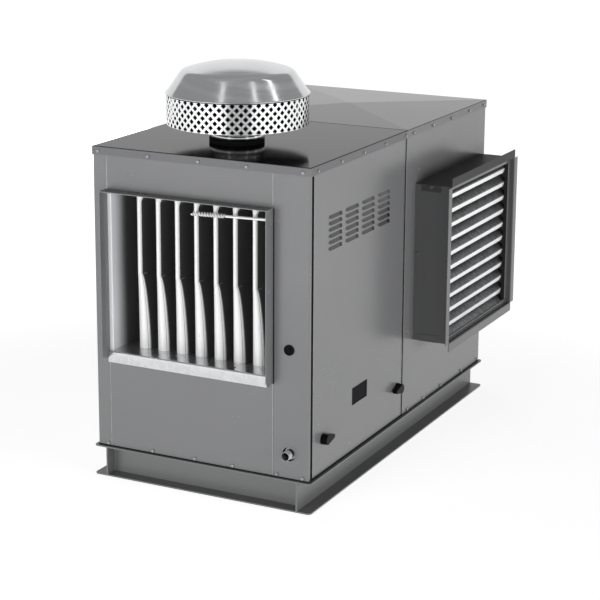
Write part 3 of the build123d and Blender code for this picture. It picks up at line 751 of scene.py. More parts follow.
def make_finishes():
    """One material for each slot of the record and for the sheets that look different, made once
    under names of their own, because the frame brings plain materials named like the slots."""
    finishes = settings()[0]
    makers = {
        "grey_paint": lambda name: enamel(name, finishes.cabinet_colour, 0.26, 0.75),
        "roof_paint": lambda name: roof_enamel(name, 0.06),
        "rear_roof_paint": lambda name: roof_enamel(name, 0.22),
        "rail_paint": lambda name: enamel(name, finishes.rail_colour, 0.36, 0.7),
        # Painted shade: the hood and its top are darker than the cabinet's enamel
        "dark_paint": lambda name: enamel(name, finishes.hood_shade_colour, 0.22, 0.75),
        "shaded_paint": lambda name: enamel(name, [0.6 * share for share in finishes.hood_shade_colour], 0.45, 0.75, 0.02, 0.05),
        "galvanised": lambda name: galvanised(name, finishes.zinc_colour, 0.36, 0.14),
        "blade_zinc_shade_and_highlight": lambda name: blade_sheet(name, (0.20, 0.205, 0.21), (0.95, 0.95, 0.96)),
        "liner_zinc": lambda name: liner_sheet(name, (0.95, 0.96, 0.97)),
        "pan_zinc": lambda name: galvanised(name, (0.64, 0.65, 0.66), 0.20, 0.06),
        # Black of soot and of painted shade in gaps, holes and hollows
        "soot_and_shade": lambda name: moulded(name, (0.010, 0.010, 0.010), 0.8),
        "screw_zinc": lambda name: galvanised(name, (0.34, 0.345, 0.35), 0.36, 0.14),
        "aluminised_steel": lambda name: clamshell(name, finishes.exchanger_colour),
        "louvred_paint": lambda name: louvred_enamel(name, finishes.cabinet_colour, 0.26),
        "bright_tube": lambda name: bright_sheet(name, (0.96, 0.96, 0.96), 0.22, 0.1, 0.5),
        "spun_aluminium": lambda name: spun_metal(name, finishes.aluminium_colour, 0.16),
        "perforated_aluminium": lambda name: bright_sheet(name, (0.90, 0.91, 0.92), 0.24, 0.10),
        "black_plastic": lambda name: moulded(name, (0.006, 0.006, 0.007), 0.30),
        "dark_glass": dark_glass,
        "pipe_steel": lambda name: bright_sheet(name, finishes.pipe_colour, 0.33, 0.5),
    }
    names = {slot: "finish_" + slot for slot in makers}
    return {slot: bpy.data.materials.get(names[slot]) or make(names[slot]) for slot, make in makers.items()}


# Mesh helpers


def lathe(radii, heights, count):
    """Points (rows, count, 3) of a turned form: at height z the point at angle a is
    (r cos a, r sin a, z). The radii are one for each row, or one for each row and angle."""
    angle = np.arange(count) * 2 * pi / count
    radius = np.asarray(radii, dtype=float)
    if radius.ndim == 1:
        radius = np.repeat(radius[:, None], count, axis=1)
    height = np.repeat(np.asarray(heights, dtype=float)[:, None], count, axis=1)
    return np.stack([radius * np.cos(angle), radius * np.sin(angle), height], axis=-1)


def tube_about(centres, sideways, upwards, radius, count):
    """Points (rows, count, 3) of a round tube: centre plus r cos a sideways plus r sin a upwards."""
    angle = np.arange(count) * 2 * pi / count
    ring = np.cos(angle)[None, :, None] * sideways[:, None, :] + np.sin(angle)[None, :, None] * upwards[:, None, :]
    return centres[:, None, :] + radius * ring


def quads_of(rows, count):
    """Corner numbers of the faces between the rows of a grid whose columns close round."""
    row, column = np.meshgrid(np.arange(rows - 1), np.arange(count), indexing="ij")
    after = (column + 1) % count
    corners = [row * count + column, row * count + after, (row + 1) * count + after, (row + 1) * count + column]
    return np.stack(corners, axis=-1).reshape(-1, 4)


def capped(points):
    """Vertices and faces of a grid of rings, closed by a face at each end."""
    rows, count = points.shape[:2]
    last = (rows - 1) * count
    caps = [list(range(count)), list(range(last, last + count))]
    return points.reshape(-1, 3), quads_of(rows, count).tolist() + caps


def turned(profile, centre, count=128):
    """Vertices and faces of a section of (radius, height) points, turned about an upright line."""
    points = lathe([r for r, z in profile], [z for r, z in profile], count) + np.array([*centre, 0.0])
    return points.reshape(-1, 3), quads_of(len(profile), count).tolist()


def arc(centre, radius, start, end, count):
    """Points (count, 2) of an arc: centre plus radius times the cosine and sine of the angle."""
    angle = np.linspace(start, end, count)
    return np.stack([centre[0] + radius * np.cos(angle), centre[1] + radius * np.sin(angle)], axis=-1)


def swept(profile, low_x, high_x):
    """Vertices and faces of a closed (y, z) section swept along X, with flat ends."""
    outline = np.asarray(profile)
    rows = [np.column_stack([np.full(len(outline), x), outline]) for x in (low_x, high_x)]
    return capped(np.stack(rows))


def copies(form, places):
    """A form repeated at each 4 by 4 place, as one set of vertices and faces."""
    points, faces = form
    matrices = np.array([np.array(place) for place in places])
    moved = np.einsum("nij,vj->nvi", matrices[:, :3, :3], points) + matrices[:, None, :3, 3]
    step = len(points)
    repeated = [[corner + index * step for corner in face] for index in range(len(places)) for face in faces]
    return moved.reshape(-1, 3), repeated


def joined(*forms):
    """Several sets of vertices and faces as one."""
    points = np.concatenate([form[0] for form in forms])
    starts = np.cumsum([0] + [len(form[0]) for form in forms[:-1]])
    faces = [[corner + start for corner in face] for form, start in zip(forms, starts) for face in form[1]]
    return points, faces


def facing(origin, outward, spin=0.0):
    """A place at origin whose Z points outward, turned by spin about it."""
    turn = Vector(outward).to_track_quat("Z", "Y").to_matrix().to_4x4()
    return Matrix.Translation(Vector(origin)) @ turn @ Matrix.Rotation(spin, 4, "Z")


def add_piece(name, form, slot, body="root", smooth_angle=radians(35)):
    """A finished mesh piece on a body: doubles merged, faces outward, flat across sharp edges."""
    points, faces = form
    mesh = bpy.data.meshes.new(name)
    mesh.from_pydata(points.tolist(), [], faces)
    work = bmesh.new()
    work.from_mesh(mesh)
    bmesh.ops.remove_doubles(work, verts=work.verts, dist=1e-6)
    bmesh.ops.recalc_face_normals(work, faces=work.faces)
    for face in work.faces:
        face.smooth = True
    for edge in work.edges:
        edge.smooth = len(edge.link_faces) == 2 and edge.calc_face_angle(pi) < smooth_angle
    work.to_mesh(mesh)
    work.free()
    piece = bpy.data.objects.new(name, mesh)
    bpy.context.scene.collection.objects.link(piece)
    mesh.materials.append(make_finishes()[slot])
    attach(piece, body)
    return piece


def blacken(piece, inside):
    """Give the faces for which inside(centre, normal) holds the black finish of soot and painted shade."""
    piece.data.materials.append(make_finishes()["soot_and_shade"])
    for face in piece.data.polygons:
        if inside(face.center, face.normal):
            face.material_index = 1


# Small hardware


def screw_form(hardware):
    """A hexagon washer screw: over the round washer the radius follows the hexagon, which is
    half the width over the cosine of the angle to the nearest flat."""
    count = 24
    angle = np.arange(count) * 2 * pi / count
    to_flat = np.mod(angle, pi / 3) - pi / 6
    hexagon = hardware.screw_across / 2 / np.cos(to_flat)
    disc = np.full(count, hardware.screw_washer)
    sunk = 0.0004
    rows = [
        (disc, -sunk),
        (disc, 0.0006),
        (0.9 * disc, 0.0011),
        (hexagon, 0.0011),
        (hexagon, 0.86 * hardware.screw_height),
        (0.88 * hexagon, hardware.screw_height),
        (0.55 * hexagon, 0.94 * hardware.screw_height),
    ]
    return capped(lathe(np.array([row[0] for row in rows]), [row[1] for row in rows], count))


def screw_row(hardware, name, spots, outward, random, slot="galvanised"):
    """Screws at spots on sheets that face outward, each turned at random."""
    places = [facing(spot, outward, random.uniform(0, pi / 3)) for spot in spots]
    piece = add_piece(name, copies(screw_form(hardware), places), slot)
    if slot == "galvanised":
        piece.data.materials[0] = make_finishes()["screw_zinc"]
    return piece


class HEATER_OT_finish_nodes(Operator):
    """Give every piece of the frame the finish of its slot"""

    bl_idname = "heater.finish_nodes"
    bl_label = "Finish the Sheets"

    def execute(self, context):
        finishes = make_finishes()
        for part in frame["record"]["subparts"]:
            node = nodes[part["node"]]
            finish = finishes[OWN_FINISH.get(part["node"], part["material_slot"])]
            if not node.material_slots:
                node.data.materials.append(finish)
            for slot in node.material_slots:
                slot.material = finish
        return {"FINISHED"}


class HEATER_OT_add_screws(Operator):
    """Drive the sheet screws along the roof flanges, the panel edges and the hood"""

    bl_idname = "heater.add_screws"
    bl_label = "Add the Sheet Screws"

    foot_lift: FloatProperty(name="Foot lift", description="Height over the cabinet's underside", default=0.009)
    flange_lift: FloatProperty(name="Flange lift", description="Height over the roof flange's edge", default=0.010)

    def execute(self, context):
        hardware = settings()[1]
        random = np.random.default_rng(SEED)
        across = np.array([0.036, 0.179, 0.312, 0.430, 0.5645, 0.641]) + front_roof_low.x
        over = np.array([0.021, 0.1775, 0.3306, 0.475, 0.6386]) + front_roof_low.x
        front_half = np.array([0.060, 0.1775, 0.300, 0.4225, 0.560])
        rear_half = np.array([0.650, 0.772, 0.9065, 1.074, 1.212])
        along = np.array([0.040, 0.180, 0.321, 0.462, 0.602, 0.657, 0.800, 0.942, 1.085, 1.205])
        foot_z = cabinet_z + self.foot_lift
        flange_z = front_roof_low.z + self.flange_lift
        screw_row(hardware, "front_foot_screws", [(x, front_y, foot_z) for x in across], (0, -1, 0), random)
        screw_row(
            hardware, "front_flange_screws", [(x, front_roof_low.y, flange_z) for x in over], (0, -1, 0), random
        )
        screw_row(hardware, "rear_foot_screws", [(x, rear_y, foot_z) for x in across[:-1]], (0, 1, 0), random)
        screw_row(
            hardware, "rear_flange_screws", [(x, rear_roof_high.y, flange_z) for x in over], (0, 1, 0), random
        )
        screw_row(hardware, "right_foot_screws", [(right_x, y, foot_z) for y in rear_half], (1, 0, 0), random)
        screw_row(
            hardware, "right_flange_screws", [(front_roof_high.x, y, flange_z) for y in along], (1, 0, 0), random
        )
        screw_row(
            hardware,
            "left_foot_screws",
            [(left_x, y, foot_z) for y in np.concatenate([front_half, rear_half])],
            (-1, 0, 0),
            random,
        )
        side_z = 0.564
        hood_high_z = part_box("hood_near_side")[1].z
        near = [
            (right_x + 0.052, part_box("hood_top")[0].y, hood_high_z - 0.004),
            (right_x + 0.012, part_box("hood_top")[0].y + 0.002, side_z),
        ]
        far = [(x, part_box("hood_top")[1].y - (0.002 if z == side_z else 0.0), z) for x, y, z in near]
        screw_row(hardware, "hood_near_screws", near, (0, -1, 0), random, "dark_paint")
        screw_row(hardware, "hood_far_screws", far, (0, 1, 0), random, "dark_paint")
        screw_row(
            hardware, "left_flange_screws", [(front_roof_low.x, y, flange_z) for y in along], (-1, 0, 0), random
        )
        return {"FINISHED"}


class HEATER_OT_add_limit_sensor(Operator):
    """Make the limit sensor with its flange, rod and wire coil"""

    bl_idname = "heater.add_limit_sensor"
    bl_label = "Add the Limit Sensor"

    flange_radius: FloatProperty(name="Flange radius", unit="LENGTH", default=0.011)
    rod_radius: FloatProperty(name="Rod radius", unit="LENGTH", default=0.0037)
    rod_length: FloatProperty(name="Rod length", unit="LENGTH", default=0.137)
    core_radius: FloatProperty(name="Core radius", description="In the coil", unit="LENGTH", default=0.0012)
    coil_length: FloatProperty(name="Coil length", unit="LENGTH", default=0.105)
    coil_radius: FloatProperty(name="Coil radius", unit="LENGTH", default=0.0065)
    sag: FloatProperty(name="Sag", description="Angle below the level", unit="ROTATION", default=radians(1.6))

    def execute(self, context):
        hardware = settings()[1]
        low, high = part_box("limit_sensor")
        rod_end = self.rod_length + self.coil_length - 0.004
        rod = capped(
            lathe(
                [self.flange_radius, self.flange_radius, 0.0095, 0.0048, 0.0048, self.rod_radius, self.rod_radius]
                + [self.core_radius, self.core_radius],
                [0.0, 0.0018, 0.0025, 0.0027, 0.0065, 0.0072, self.rod_length, self.rod_length, rod_end],
                32,
            )
        )
        start = (high.x, (low.y + high.y) / 2, (low.z + high.z) / 2)
        place = facing(start, (-cos(self.sag), 0, -sin(self.sag)))
        piece = add_piece("limit_sensor_coil", copies(joined(rod, self.coil_form(hardware)), [place]), "bright_tube")
        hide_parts("limit_sensor")
        return {"FINISHED"}

    def coil_form(self, hardware):
        """A wire on a helix about Z: the centre goes round at the coil's radius while z grows
        evenly, and the wire's ring is spanned by the outward line and its cross with the tangent."""
        rows = hardware.coil_turns * 20 + 1
        turn = np.linspace(0.0, 2 * pi * hardware.coil_turns, rows)
        wire_radius = hardware.coil_wire
        outward = np.stack([np.cos(turn), np.sin(turn), np.zeros(rows)], axis=-1)
        rise = self.coil_length - 2 * wire_radius
        centres = (self.coil_radius - wire_radius) * outward
        centres[:, 2] = self.rod_length + wire_radius + rise * turn / turn[-1]
        tangent = np.gradient(centres, axis=0)
        tangent /= np.linalg.norm(tangent, axis=1)[:, None]
        return capped(tube_about(centres, outward, np.cross(tangent, outward), wire_radius, 8))


class HEATER_OT_add_heat_exchangers(Operator):
    """Make the seven clamshell sections, each with a straight neck and a swelling belly"""

    bl_idname = "heater.add_heat_exchangers"
    bl_label = "Add the Heat Exchangers"

    count: IntProperty(name="Sections", description="How many stand side by side", default=7, min=2)
    neck_radius: FloatProperty(name="Neck radius", unit="LENGTH", default=0.0075)
    belly_radius: FloatProperty(name="Belly radius", unit="LENGTH", default=0.0195)
    belly_setback: FloatProperty(name="Belly setback", unit="LENGTH", default=0.014)
    neck_height: FloatProperty(name="Neck height", description="Top of the belly", unit="LENGTH", default=0.215)
    crown_radius: FloatProperty(name="Crown radius", unit="LENGTH", default=0.0120)
    crown_drop: FloatProperty(name="Crown drop", unit="LENGTH", default=0.036)
    crown_rise: FloatProperty(name="Crown rise", description="Height of the flare", unit="LENGTH", default=0.014)
    crown_setback: FloatProperty(name="Crown setback", unit="LENGTH", default=0.003)

    def execute(self, context):
        low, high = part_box("heat_exchangers")
        box_radius = 0.0165
        middle = (low.x + high.x) / 2
        pitch = (high.x - low.x - 2 * box_radius) / (self.count - 1)
        form = self.section_form(low.y, high.y, low.z + 0.008, high.z)
        shifts = (np.arange(self.count) - (self.count - 1) / 2) * pitch
        places = [Matrix.Translation((middle + shift, 0.0, 0.0)) for shift in shifts]
        piece = add_piece("clamshell_sections", copies(form, places), "aluminised_steel")
        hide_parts("heat_exchangers")
        return {"FINISHED"}

    def section_form(self, low_y, high_y, low_z, high_z):
        """Level outlines of two half circles joined by straight flanks. With t the share of the
        belly's height, the half width grows from the neck's by (1 - t to the 1.5) to the 0.62."""
        share = 1.0 - np.linspace(0.0, 1.0, 36) ** 2
        belly_z = low_z + self.neck_height * share[::-1]
        crown_z = np.linspace(high_z - self.crown_drop, high_z, 14)
        height = np.concatenate([belly_z, crown_z])
        fall = np.clip((height - low_z) / self.neck_height, 0.0, 1.0)
        swell = (1.0 - fall**1.5) ** 0.62
        flare = np.clip((height - crown_z[0]) / self.crown_rise, 0.0, 1.0) ** 1.4
        radius = (
            self.neck_radius
            + swell * (self.belly_radius - self.neck_radius)
            + flare * (self.crown_radius - self.neck_radius)
        )
        setback = swell * self.belly_setback + flare * self.crown_setback
        half_turn = np.linspace(0.0, pi, 17)
        across = np.concatenate([np.cos(half_turn), -np.cos(half_turn)])
        along = np.sin(half_turn)
        front = (low_y + setback + radius)[:, None] - radius[:, None] * along
        back = (high_y - setback - radius)[:, None] + radius[:, None] * along
        x = radius[:, None] * across
        y = np.concatenate([front, back], axis=1)
        z = np.repeat(height[:, None], x.shape[1], axis=1)
        return capped(np.stack([x, y, z], axis=-1))


class HEATER_OT_add_pan_lip(Operator):
    """Make the passage's pan with its rolled lip in front of the cabinet"""

    bl_idname = "heater.add_pan_lip"
    bl_label = "Add the Pan and its Lip"

    lift: FloatProperty(name="Lift", description="Pan over the node's", unit="LENGTH", default=0.008)
    reach: FloatProperty(name="Reach", description="Lip in front of the cabinet", unit="LENGTH", default=0.010)
    drop: FloatProperty(name="Drop", description="Height of the lip", unit="LENGTH", default=0.031)
    roll: FloatProperty(name="Roll", description="Radius of the rolled edge", unit="LENGTH", default=0.004)
    wall: FloatProperty(name="Sheet", unit="LENGTH", default=0.002)
    hole_radius: FloatProperty(name="Hole radius", unit="LENGTH", default=0.003)
    hole_spacing: FloatProperty(name="Hole spacing", unit="LENGTH", default=0.239)

    def execute(self, context):
        low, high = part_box("liner_pan")
        high.z += self.lift
        roll_y, roll_z = low.y - self.reach + self.roll, high.z - self.roll
        bottom = high.z - self.drop
        outer = arc((roll_y, roll_z), self.roll, pi / 2, pi, 9)
        inner = arc((roll_y, roll_z), self.roll - self.wall, pi, pi / 2, 9)
        hem = arc((roll_y - self.roll + self.wall, bottom), self.wall, pi, 2 * pi, 9)
        profile = np.concatenate(
            [[(high.y, high.z)], outer, hem, [(roll_y - self.roll + 2 * self.wall, bottom + 0.006)],
             [(roll_y - self.roll + self.wall, bottom + 0.006)], inner, [(high.y, high.z - self.wall)]]
        )
        left_end = low.x + 0.0015
        right_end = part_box("liner_right")[0].x
        piece = add_piece("rolled_pan_lip", swept(profile, left_end, right_end), "galvanised")
        piece.data.materials[0] = make_finishes()["pan_zinc"]
        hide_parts("liner_pan")
        middle = (low.x + high.x) / 2 + 0.011
        spots = [(middle + side * self.hole_spacing / 2, 0.018, high.z + 0.0001) for side in (-1, 1)]
        disc = capped(lathe([self.hole_radius, self.hole_radius], [0.0, 0.0002], 24))
        # Painted shade: black discs stand in for the holes in the pan
        holes = add_piece("pan_hole_shades", copies(disc, [Matrix.Translation(spot) for spot in spots]), "black_plastic")
        holes.data.materials[0] = make_finishes()["soot_and_shade"]
        return {"FINISHED"}


class HEATER_OT_add_collar_sides(Operator):
    """Make the collar's side plates with their lower front corners cut back, and black strips of painted shadow at the
    seams beside them
    """

    bl_idname = "heater.add_collar_sides"
    bl_label = "Add the Collar Sides"

    corner_rise: FloatProperty(name="Corner rise", unit="LENGTH", default=0.009)
    seam_shadow_width: FloatProperty(name="Seam width", unit="LENGTH", default=0.0032)

    def execute(self, context):
        for side in ("left", "right"):
            low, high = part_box("collar_" + side)
            profile = [(low.y, low.z + self.corner_rise), (high.y, low.z), (high.y, high.z), (low.y, high.z)]
            plate = add_piece("cut_collar_" + side, swept(profile, low.x, high.x), "grey_paint")
            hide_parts("collar_" + side)
            # Painted shadow: a black strip at the seam beside each collar plate
            outside = low.x - self.seam_shadow_width if side == "left" else high.x
            strip = [
                (front_y - 0.0003, low.z),
                (front_y + 0.0010, low.z),
                (front_y + 0.0010, high.z),
                (front_y - 0.0003, high.z),
            ]
            seam_shadow = add_piece("collar_seam_shadow_" + side, swept(strip, outside, outside + self.seam_shadow_width), "black_plastic")
            seam_shadow.data.materials[0] = make_finishes()["soot_and_shade"]
        return {"FINISHED"}


class HEATER_OT_add_gap_shadows(Operator):
    """Paint shadow into the gaps beside the access panel and under the cabinet with black strips, and paint highlights
    along the panel edges
    """

    bl_idname = "heater.add_gap_linings"
    bl_label = "Add the Gap Shadows"

    depth: FloatProperty(name="Depth", description="Strip behind the sheet's face", unit="LENGTH", default=0.001)
    seal: FloatProperty(name="Seal", description="Height of the seal at the foot", unit="LENGTH", default=0.003)
    highlight_width: FloatProperty(name="Bright edge", description="Width of worn folds", unit="LENGTH", default=0.0016)

    def execute(self, context):
        low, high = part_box("access_panel")
        post_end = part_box("front_post_right")[0].y + 0.012
        panel_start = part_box("inlet_panel_right")[0].y
        face = right_x - self.depth
        # Painted shadow: black strips in the gaps beside the access panel and at the cabinet's foot
        forms = [
            self.strip(face, post_end, cabinet_z + 0.003, low.y, front_roof_low.z),
            self.strip(face, high.y, cabinet_z + 0.003, panel_start, front_roof_low.z),
            self.strip(right_x + 0.0002, front_y, cabinet_z, rear_y, cabinet_z + self.seal),
        ]
        front = swept(
            [
                (front_y - 0.0004, cabinet_z),
                (front_y + 0.0004, cabinet_z),
                (front_y + 0.0004, cabinet_z + self.seal),
                (front_y - 0.0004, cabinet_z + self.seal),
            ],
            left_x,
            right_x,
        )
        piece = add_piece("painted_gap_shadows", joined(front, *forms), "black_plastic")
        piece.data.materials[0] = make_finishes()["soot_and_shade"]
        # Painted highlight: pale zinc strips along the edges of the access panel and the front panels
        edges = [
            self.strip(right_x + 0.0002, y, low.z, y + self.highlight_width, high.z)
            for y in (low.y, high.y - self.highlight_width)
        ]
        for name in ("front_panel_upper", "front_panel_lower"):
            low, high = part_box(name)
            for x in (low.x, high.x - self.highlight_width):
                face = [(front_y - 0.0003, low.z), (front_y, low.z), (front_y, high.z), (front_y - 0.0003, high.z)]
                edges.append(swept(face, x, x + self.highlight_width))
        piece = add_piece("painted_edge_highlights", joined(*edges), "grey_paint")
        piece.data.materials[0] = make_finishes()["screw_zinc"]
        return {"FINISHED"}

    def strip(self, x, low_y, low_z, high_y, high_z):
        """A strip 0.4 mm thick in the plane at x."""
        return swept([(low_y, low_z), (high_y, low_z), (high_y, high_z), (low_y, high_z)], x - 0.0002, x + 0.0002)


class HEATER_OT_add_louvre_sill(Operator):
    """Make the sloping sill under the last blade, its beads and a black strip of painted shadow at the far jamb"""

    bl_idname = "heater.add_louvre_sill"
    bl_label = "Add the Louvre Sill"

    face: FloatProperty(name="Face", description="Width of the frame's face", unit="LENGTH", default=0.014)
    run: FloatProperty(name="Run", unit="LENGTH", default=0.030)
    rise: FloatProperty(name="Rise", unit="LENGTH", default=0.026)
    # Width of the black strip of painted shadow at the far jamb
    channel: FloatProperty(name="Channel", unit="LENGTH", default=0.026)
    bead: FloatProperty(name="Bead", unit="LENGTH", default=0.0022)

    def execute(self, context):
        low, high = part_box("louvre_frame")
        near_y, far_y = low.y + self.face, high.y - self.face
        front_x, bottom = high.x - 0.002, low.z + self.face
        length = far_y - near_y
        slope = [(0.0, 0.0), (-self.run, self.rise), (-self.run - 0.001, self.rise - 0.001), (-0.001, -0.001)]
        sill = self.along_y(slope, front_x, near_y, bottom, length)
        piece = add_piece("louvre_sill", sill, "galvanised")
        # The sill takes the blades' finish, dark as painted shade
        piece.data.materials[0] = make_finishes()["blade_zinc_shade_and_highlight"]
        bar = [(0.0, 0.0), (self.bead, 0.0), (self.bead, self.bead), (0.0, self.bead)]
        bars = [self.along_y(bar, high.x, near_y, low.z + lift, length) for lift in (0.0035, 0.0100)]
        add_piece("louvre_sill_beads", joined(*bars), "dark_paint")
        # Painted shadow: a black strip beside the far jamb
        strip = [(0.0, 0.0), (0.001, 0.0), (0.001, high.z - low.z - 2 * self.face), (0.0, high.z - low.z - 2 * self.face)]
        dark = self.along_y(strip, front_x - 0.0012, far_y - self.channel, bottom, self.channel)
        channel = add_piece("louvre_far_jamb_shadow", dark, "black_plastic")
        channel.data.materials[0] = make_finishes()["soot_and_shade"]
        return {"FINISHED"}

    def along_y(self, profile, x, y, z, length):
        """A closed (x, z) section swept along Y from a corner."""
        outline = np.asarray(profile)
        rows = [
            np.column_stack([x + outline[:, 0], np.full(len(outline), end), z + outline[:, 1]])
            for end in (y, y + length)
        ]
        return capped(np.stack(rows))


class HEATER_OT_add_vent_cap(Operator):
    """Make the vent cap: base with its flue tube, band with diamond holes and spun dome"""

    bl_idname = "heater.add_vent_cap"
    bl_label = "Add the Vent Cap"

    shift_x: FloatProperty(name="Shift", description="Place along X from the node's", unit="LENGTH", default=0.003)
    gap: FloatProperty(name="Gap", description="Roof to band", unit="LENGTH", default=0.052)
    band_height: FloatProperty(name="Band height", unit="LENGTH", default=0.081)
    band_radius: FloatProperty(name="Band radius", unit="LENGTH", default=0.194)
    rim_radius: FloatProperty(name="Rim radius", unit="LENGTH", default=0.1975)
    rim_height: FloatProperty(name="Rim height", unit="LENGTH", default=0.005)
    dome_height: FloatProperty(name="Dome height", unit="LENGTH", default=0.090)
    crown_radius: FloatProperty(name="Crown radius", description="Where the crown ends", unit="LENGTH", default=0.145)
    crown_sag: FloatProperty(name="Crown sag", unit="LENGTH", default=0.0227)
    cone_slope: FloatProperty(name="Cone slope", unit="ROTATION", default=radians(55.4))
    shoulder: FloatProperty(name="Shoulder", description="Rounding along the cone", unit="LENGTH", default=0.013)
    wall: FloatProperty(name="Sheet", unit="LENGTH", default=0.0012)
    holes_round: IntProperty(name="Holes round", description="Holes in one row", default=52, min=8)
    row_rise: FloatProperty(name="Row rise", description="From row to row", unit="LENGTH", default=0.0119)
    hole_share: FloatProperty(name="Hole share", description="Hole side over the distance of two", default=0.62)

    def execute(self, context):
        centre = (vent_centre.x + self.shift_x, vent_centre.y)
        band_low = front_roof_high.z + self.gap
        band_high = band_low + self.band_height

        def inward(place, normal):
            return (place.x - centre[0]) * normal.x + (place.y - centre[1]) * normal.y < 0

        band = add_piece("vent_cap_band", self.lattice_form(centre, band_low), "perforated_aluminium")
        # Painted shade: the band's inner faces are black
        blacken(band, inward)
        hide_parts("vent_band")
        dome = add_piece("vent_cap_dome", turned(self.dome_profile(band_high), centre), "spun_aluminium")
        # Painted shade: the dome's underside and the strip under its rim are black
        blacken(dome, lambda place, normal: normal.z < -0.1 or place.z < band_high + 0.0025)
        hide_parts("vent_dome")
        base = add_piece("vent_cap_base", turned(self.base_profile(band_low), centre), "spun_aluminium")
        plate_z = band_low - 0.0005
        # Soot and painted shade: the plate's top and the inner faces are black
        blacken(base, lambda place, normal: abs(normal.z) > 0.5 and place.z > plate_z or inward(place, normal))
        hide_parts("vent_base")
        drum = [(0.150, band_low + 0.002), (0.155, band_low + 0.002), (0.155, band_high), (0.150, band_high)]
        baffle = add_piece("vent_inner_baffle", turned(drum + drum[:1], centre, 64), "spun_aluminium")
        # Painted shade: the inner drum is black all over
        baffle.data.materials[0] = make_finishes()["soot_and_shade"]
        return {"FINISHED"}

    def lattice_form(self, centre, band_low):
        """The band unrolled: holes are squares about the whole numbers of p = a + b and q = a - b,
        with a the turns over the hole's share and b the height over two rows. The strips between
        them are cut at the band's edges and wrapped about the axis."""
        half = self.hole_share / 2
        reach = int(self.band_height / (2 * self.row_rise)) + 3
        number, rank = np.meshgrid(np.arange(2 * self.holes_round), np.arange(-reach, reach + 1))
        keep = (number + rank) % 2 == 0
        p, q = ((number + rank) / 2)[keep], ((number - rank) / 2)[keep]
        hole, strip = (-half, half), (half, 1.0 - half)
        quads = []
        for span_p, span_q in ((strip, hole), (hole, strip), (strip, strip)):
            for side_p, side_q in ((0, 0), (1, 0), (1, 1), (0, 1)):
                quads.append(np.stack([p + span_p[side_p], q + span_q[side_q]], axis=-1))
        corners = np.stack(quads, axis=1).reshape(-1, 2)
        flat = np.stack(
            [(corners[:, 0] + corners[:, 1]) / 2, (corners[:, 0] - corners[:, 1]) / 2, np.zeros(len(corners))],
            axis=-1,
        )
        mesh = bpy.data.meshes.new("lattice")
        mesh.from_pydata(flat.tolist(), [], np.arange(len(flat)).reshape(-1, 4).tolist())
        work = bmesh.new()
        work.from_mesh(mesh)
        bpy.data.meshes.remove(mesh)
        edge = self.band_height / (4 * self.row_rise)
        for side in (-1, 1):
            bmesh.ops.bisect_plane(
                work,
                geom=work.verts[:] + work.edges[:] + work.faces[:],
                plane_co=(0, side * edge, 0),
                plane_no=(0, side, 0),
                clear_outer=True,
            )
        middle = band_low + self.band_height / 2
        for vertex in work.verts:
            angle = 2 * pi * vertex.co.x / self.holes_round
            height = middle + 2 * self.row_rise * vertex.co.y
            radius = self.band_radius
            vertex.co = (centre[0] + radius * cos(angle), centre[1] + radius * sin(angle), height)
        bmesh.ops.remove_doubles(work, verts=work.verts, dist=1e-6)
        bmesh.ops.recalc_face_normals(work, faces=work.faces)
        bmesh.ops.solidify(work, geom=work.faces[:], thickness=self.wall)
        work.verts.index_update()
        points = np.array([vertex.co for vertex in work.verts])
        faces = [[vertex.index for vertex in face.verts] for face in work.faces]
        work.free()
        return points, faces

    def dome_profile(self, band_high):
        """Outer side: a crown arc, a shoulder (1-t)(1-t) a + 2t(1-t) b + t t c whose middle point b
        is where the crown's tangent meets the cone, and the cone to the rim. The inner follows."""
        sag = self.crown_sag
        radius = (self.crown_radius**2 + sag**2) / (2 * sag)
        middle = np.array([0.0, band_high + self.dome_height - radius])
        end_angle = pi / 2 - np.arcsin(self.crown_radius / radius)
        crown = arc(middle, radius, pi / 2, end_angle, 25)
        fall = 1.0 / np.tan(end_angle)
        foot = np.array([self.band_radius + 0.0005, band_high + self.rim_height])
        steep = np.tan(self.cone_slope)
        corner_r = (foot[1] + steep * foot[0] - crown[-1][1] - fall * crown[-1][0]) / (steep - fall)
        corner = np.array([corner_r, foot[1] + steep * (foot[0] - corner_r)])
        low = corner + self.shoulder * np.array([cos(self.cone_slope), -sin(self.cone_slope)])
        t = np.linspace(0.0, 1.0, 12)[1:, None]
        shoulder = (1 - t) ** 2 * crown[-1] + 2 * t * (1 - t) * corner + t**2 * low
        cone = low + np.linspace(0.0, 1.0, 8)[1:, None] * (foot - low)
        outer = np.concatenate([crown, shoulder, cone])
        inner = outer[::-1] - (0.0, 1.6 * self.wall)
        inner[:, 0] = np.maximum(inner[:, 0] - self.wall, 0.0)
        rim = [
            (self.rim_radius - 0.0012, band_high + self.rim_height),
            (self.rim_radius, band_high + self.rim_height - 0.0012),
            (self.rim_radius, band_high + 0.0020),
            (self.band_radius + 0.0006, band_high + 0.0020),
            (self.band_radius + 0.0006, band_high - 0.0010),
            (self.band_radius - self.wall, band_high),
        ]
        return [tuple(point) for point in np.concatenate([outer, rim, inner])]

    def base_profile(self, band_low):
        """A plate on a beaded tube, as one closed section."""
        roof = front_roof_high.z
        tube, bead = 0.069, 0.074
        return [
            (tube - self.wall, roof),
            (tube, roof),
            (tube, roof + 0.012),
            (bead - 0.001, roof + 0.012),
            (bead, roof + 0.0135),
            (bead, roof + 0.0245),
            (bead - 0.001, roof + 0.026),
            (tube, roof + 0.026),
            (tube, band_low),
            (self.band_radius - self.wall, band_low),
            (self.band_radius - self.wall, band_low + self.wall),
            (tube - self.wall, band_low + self.wall),
            (tube - self.wall, roof),
        ]


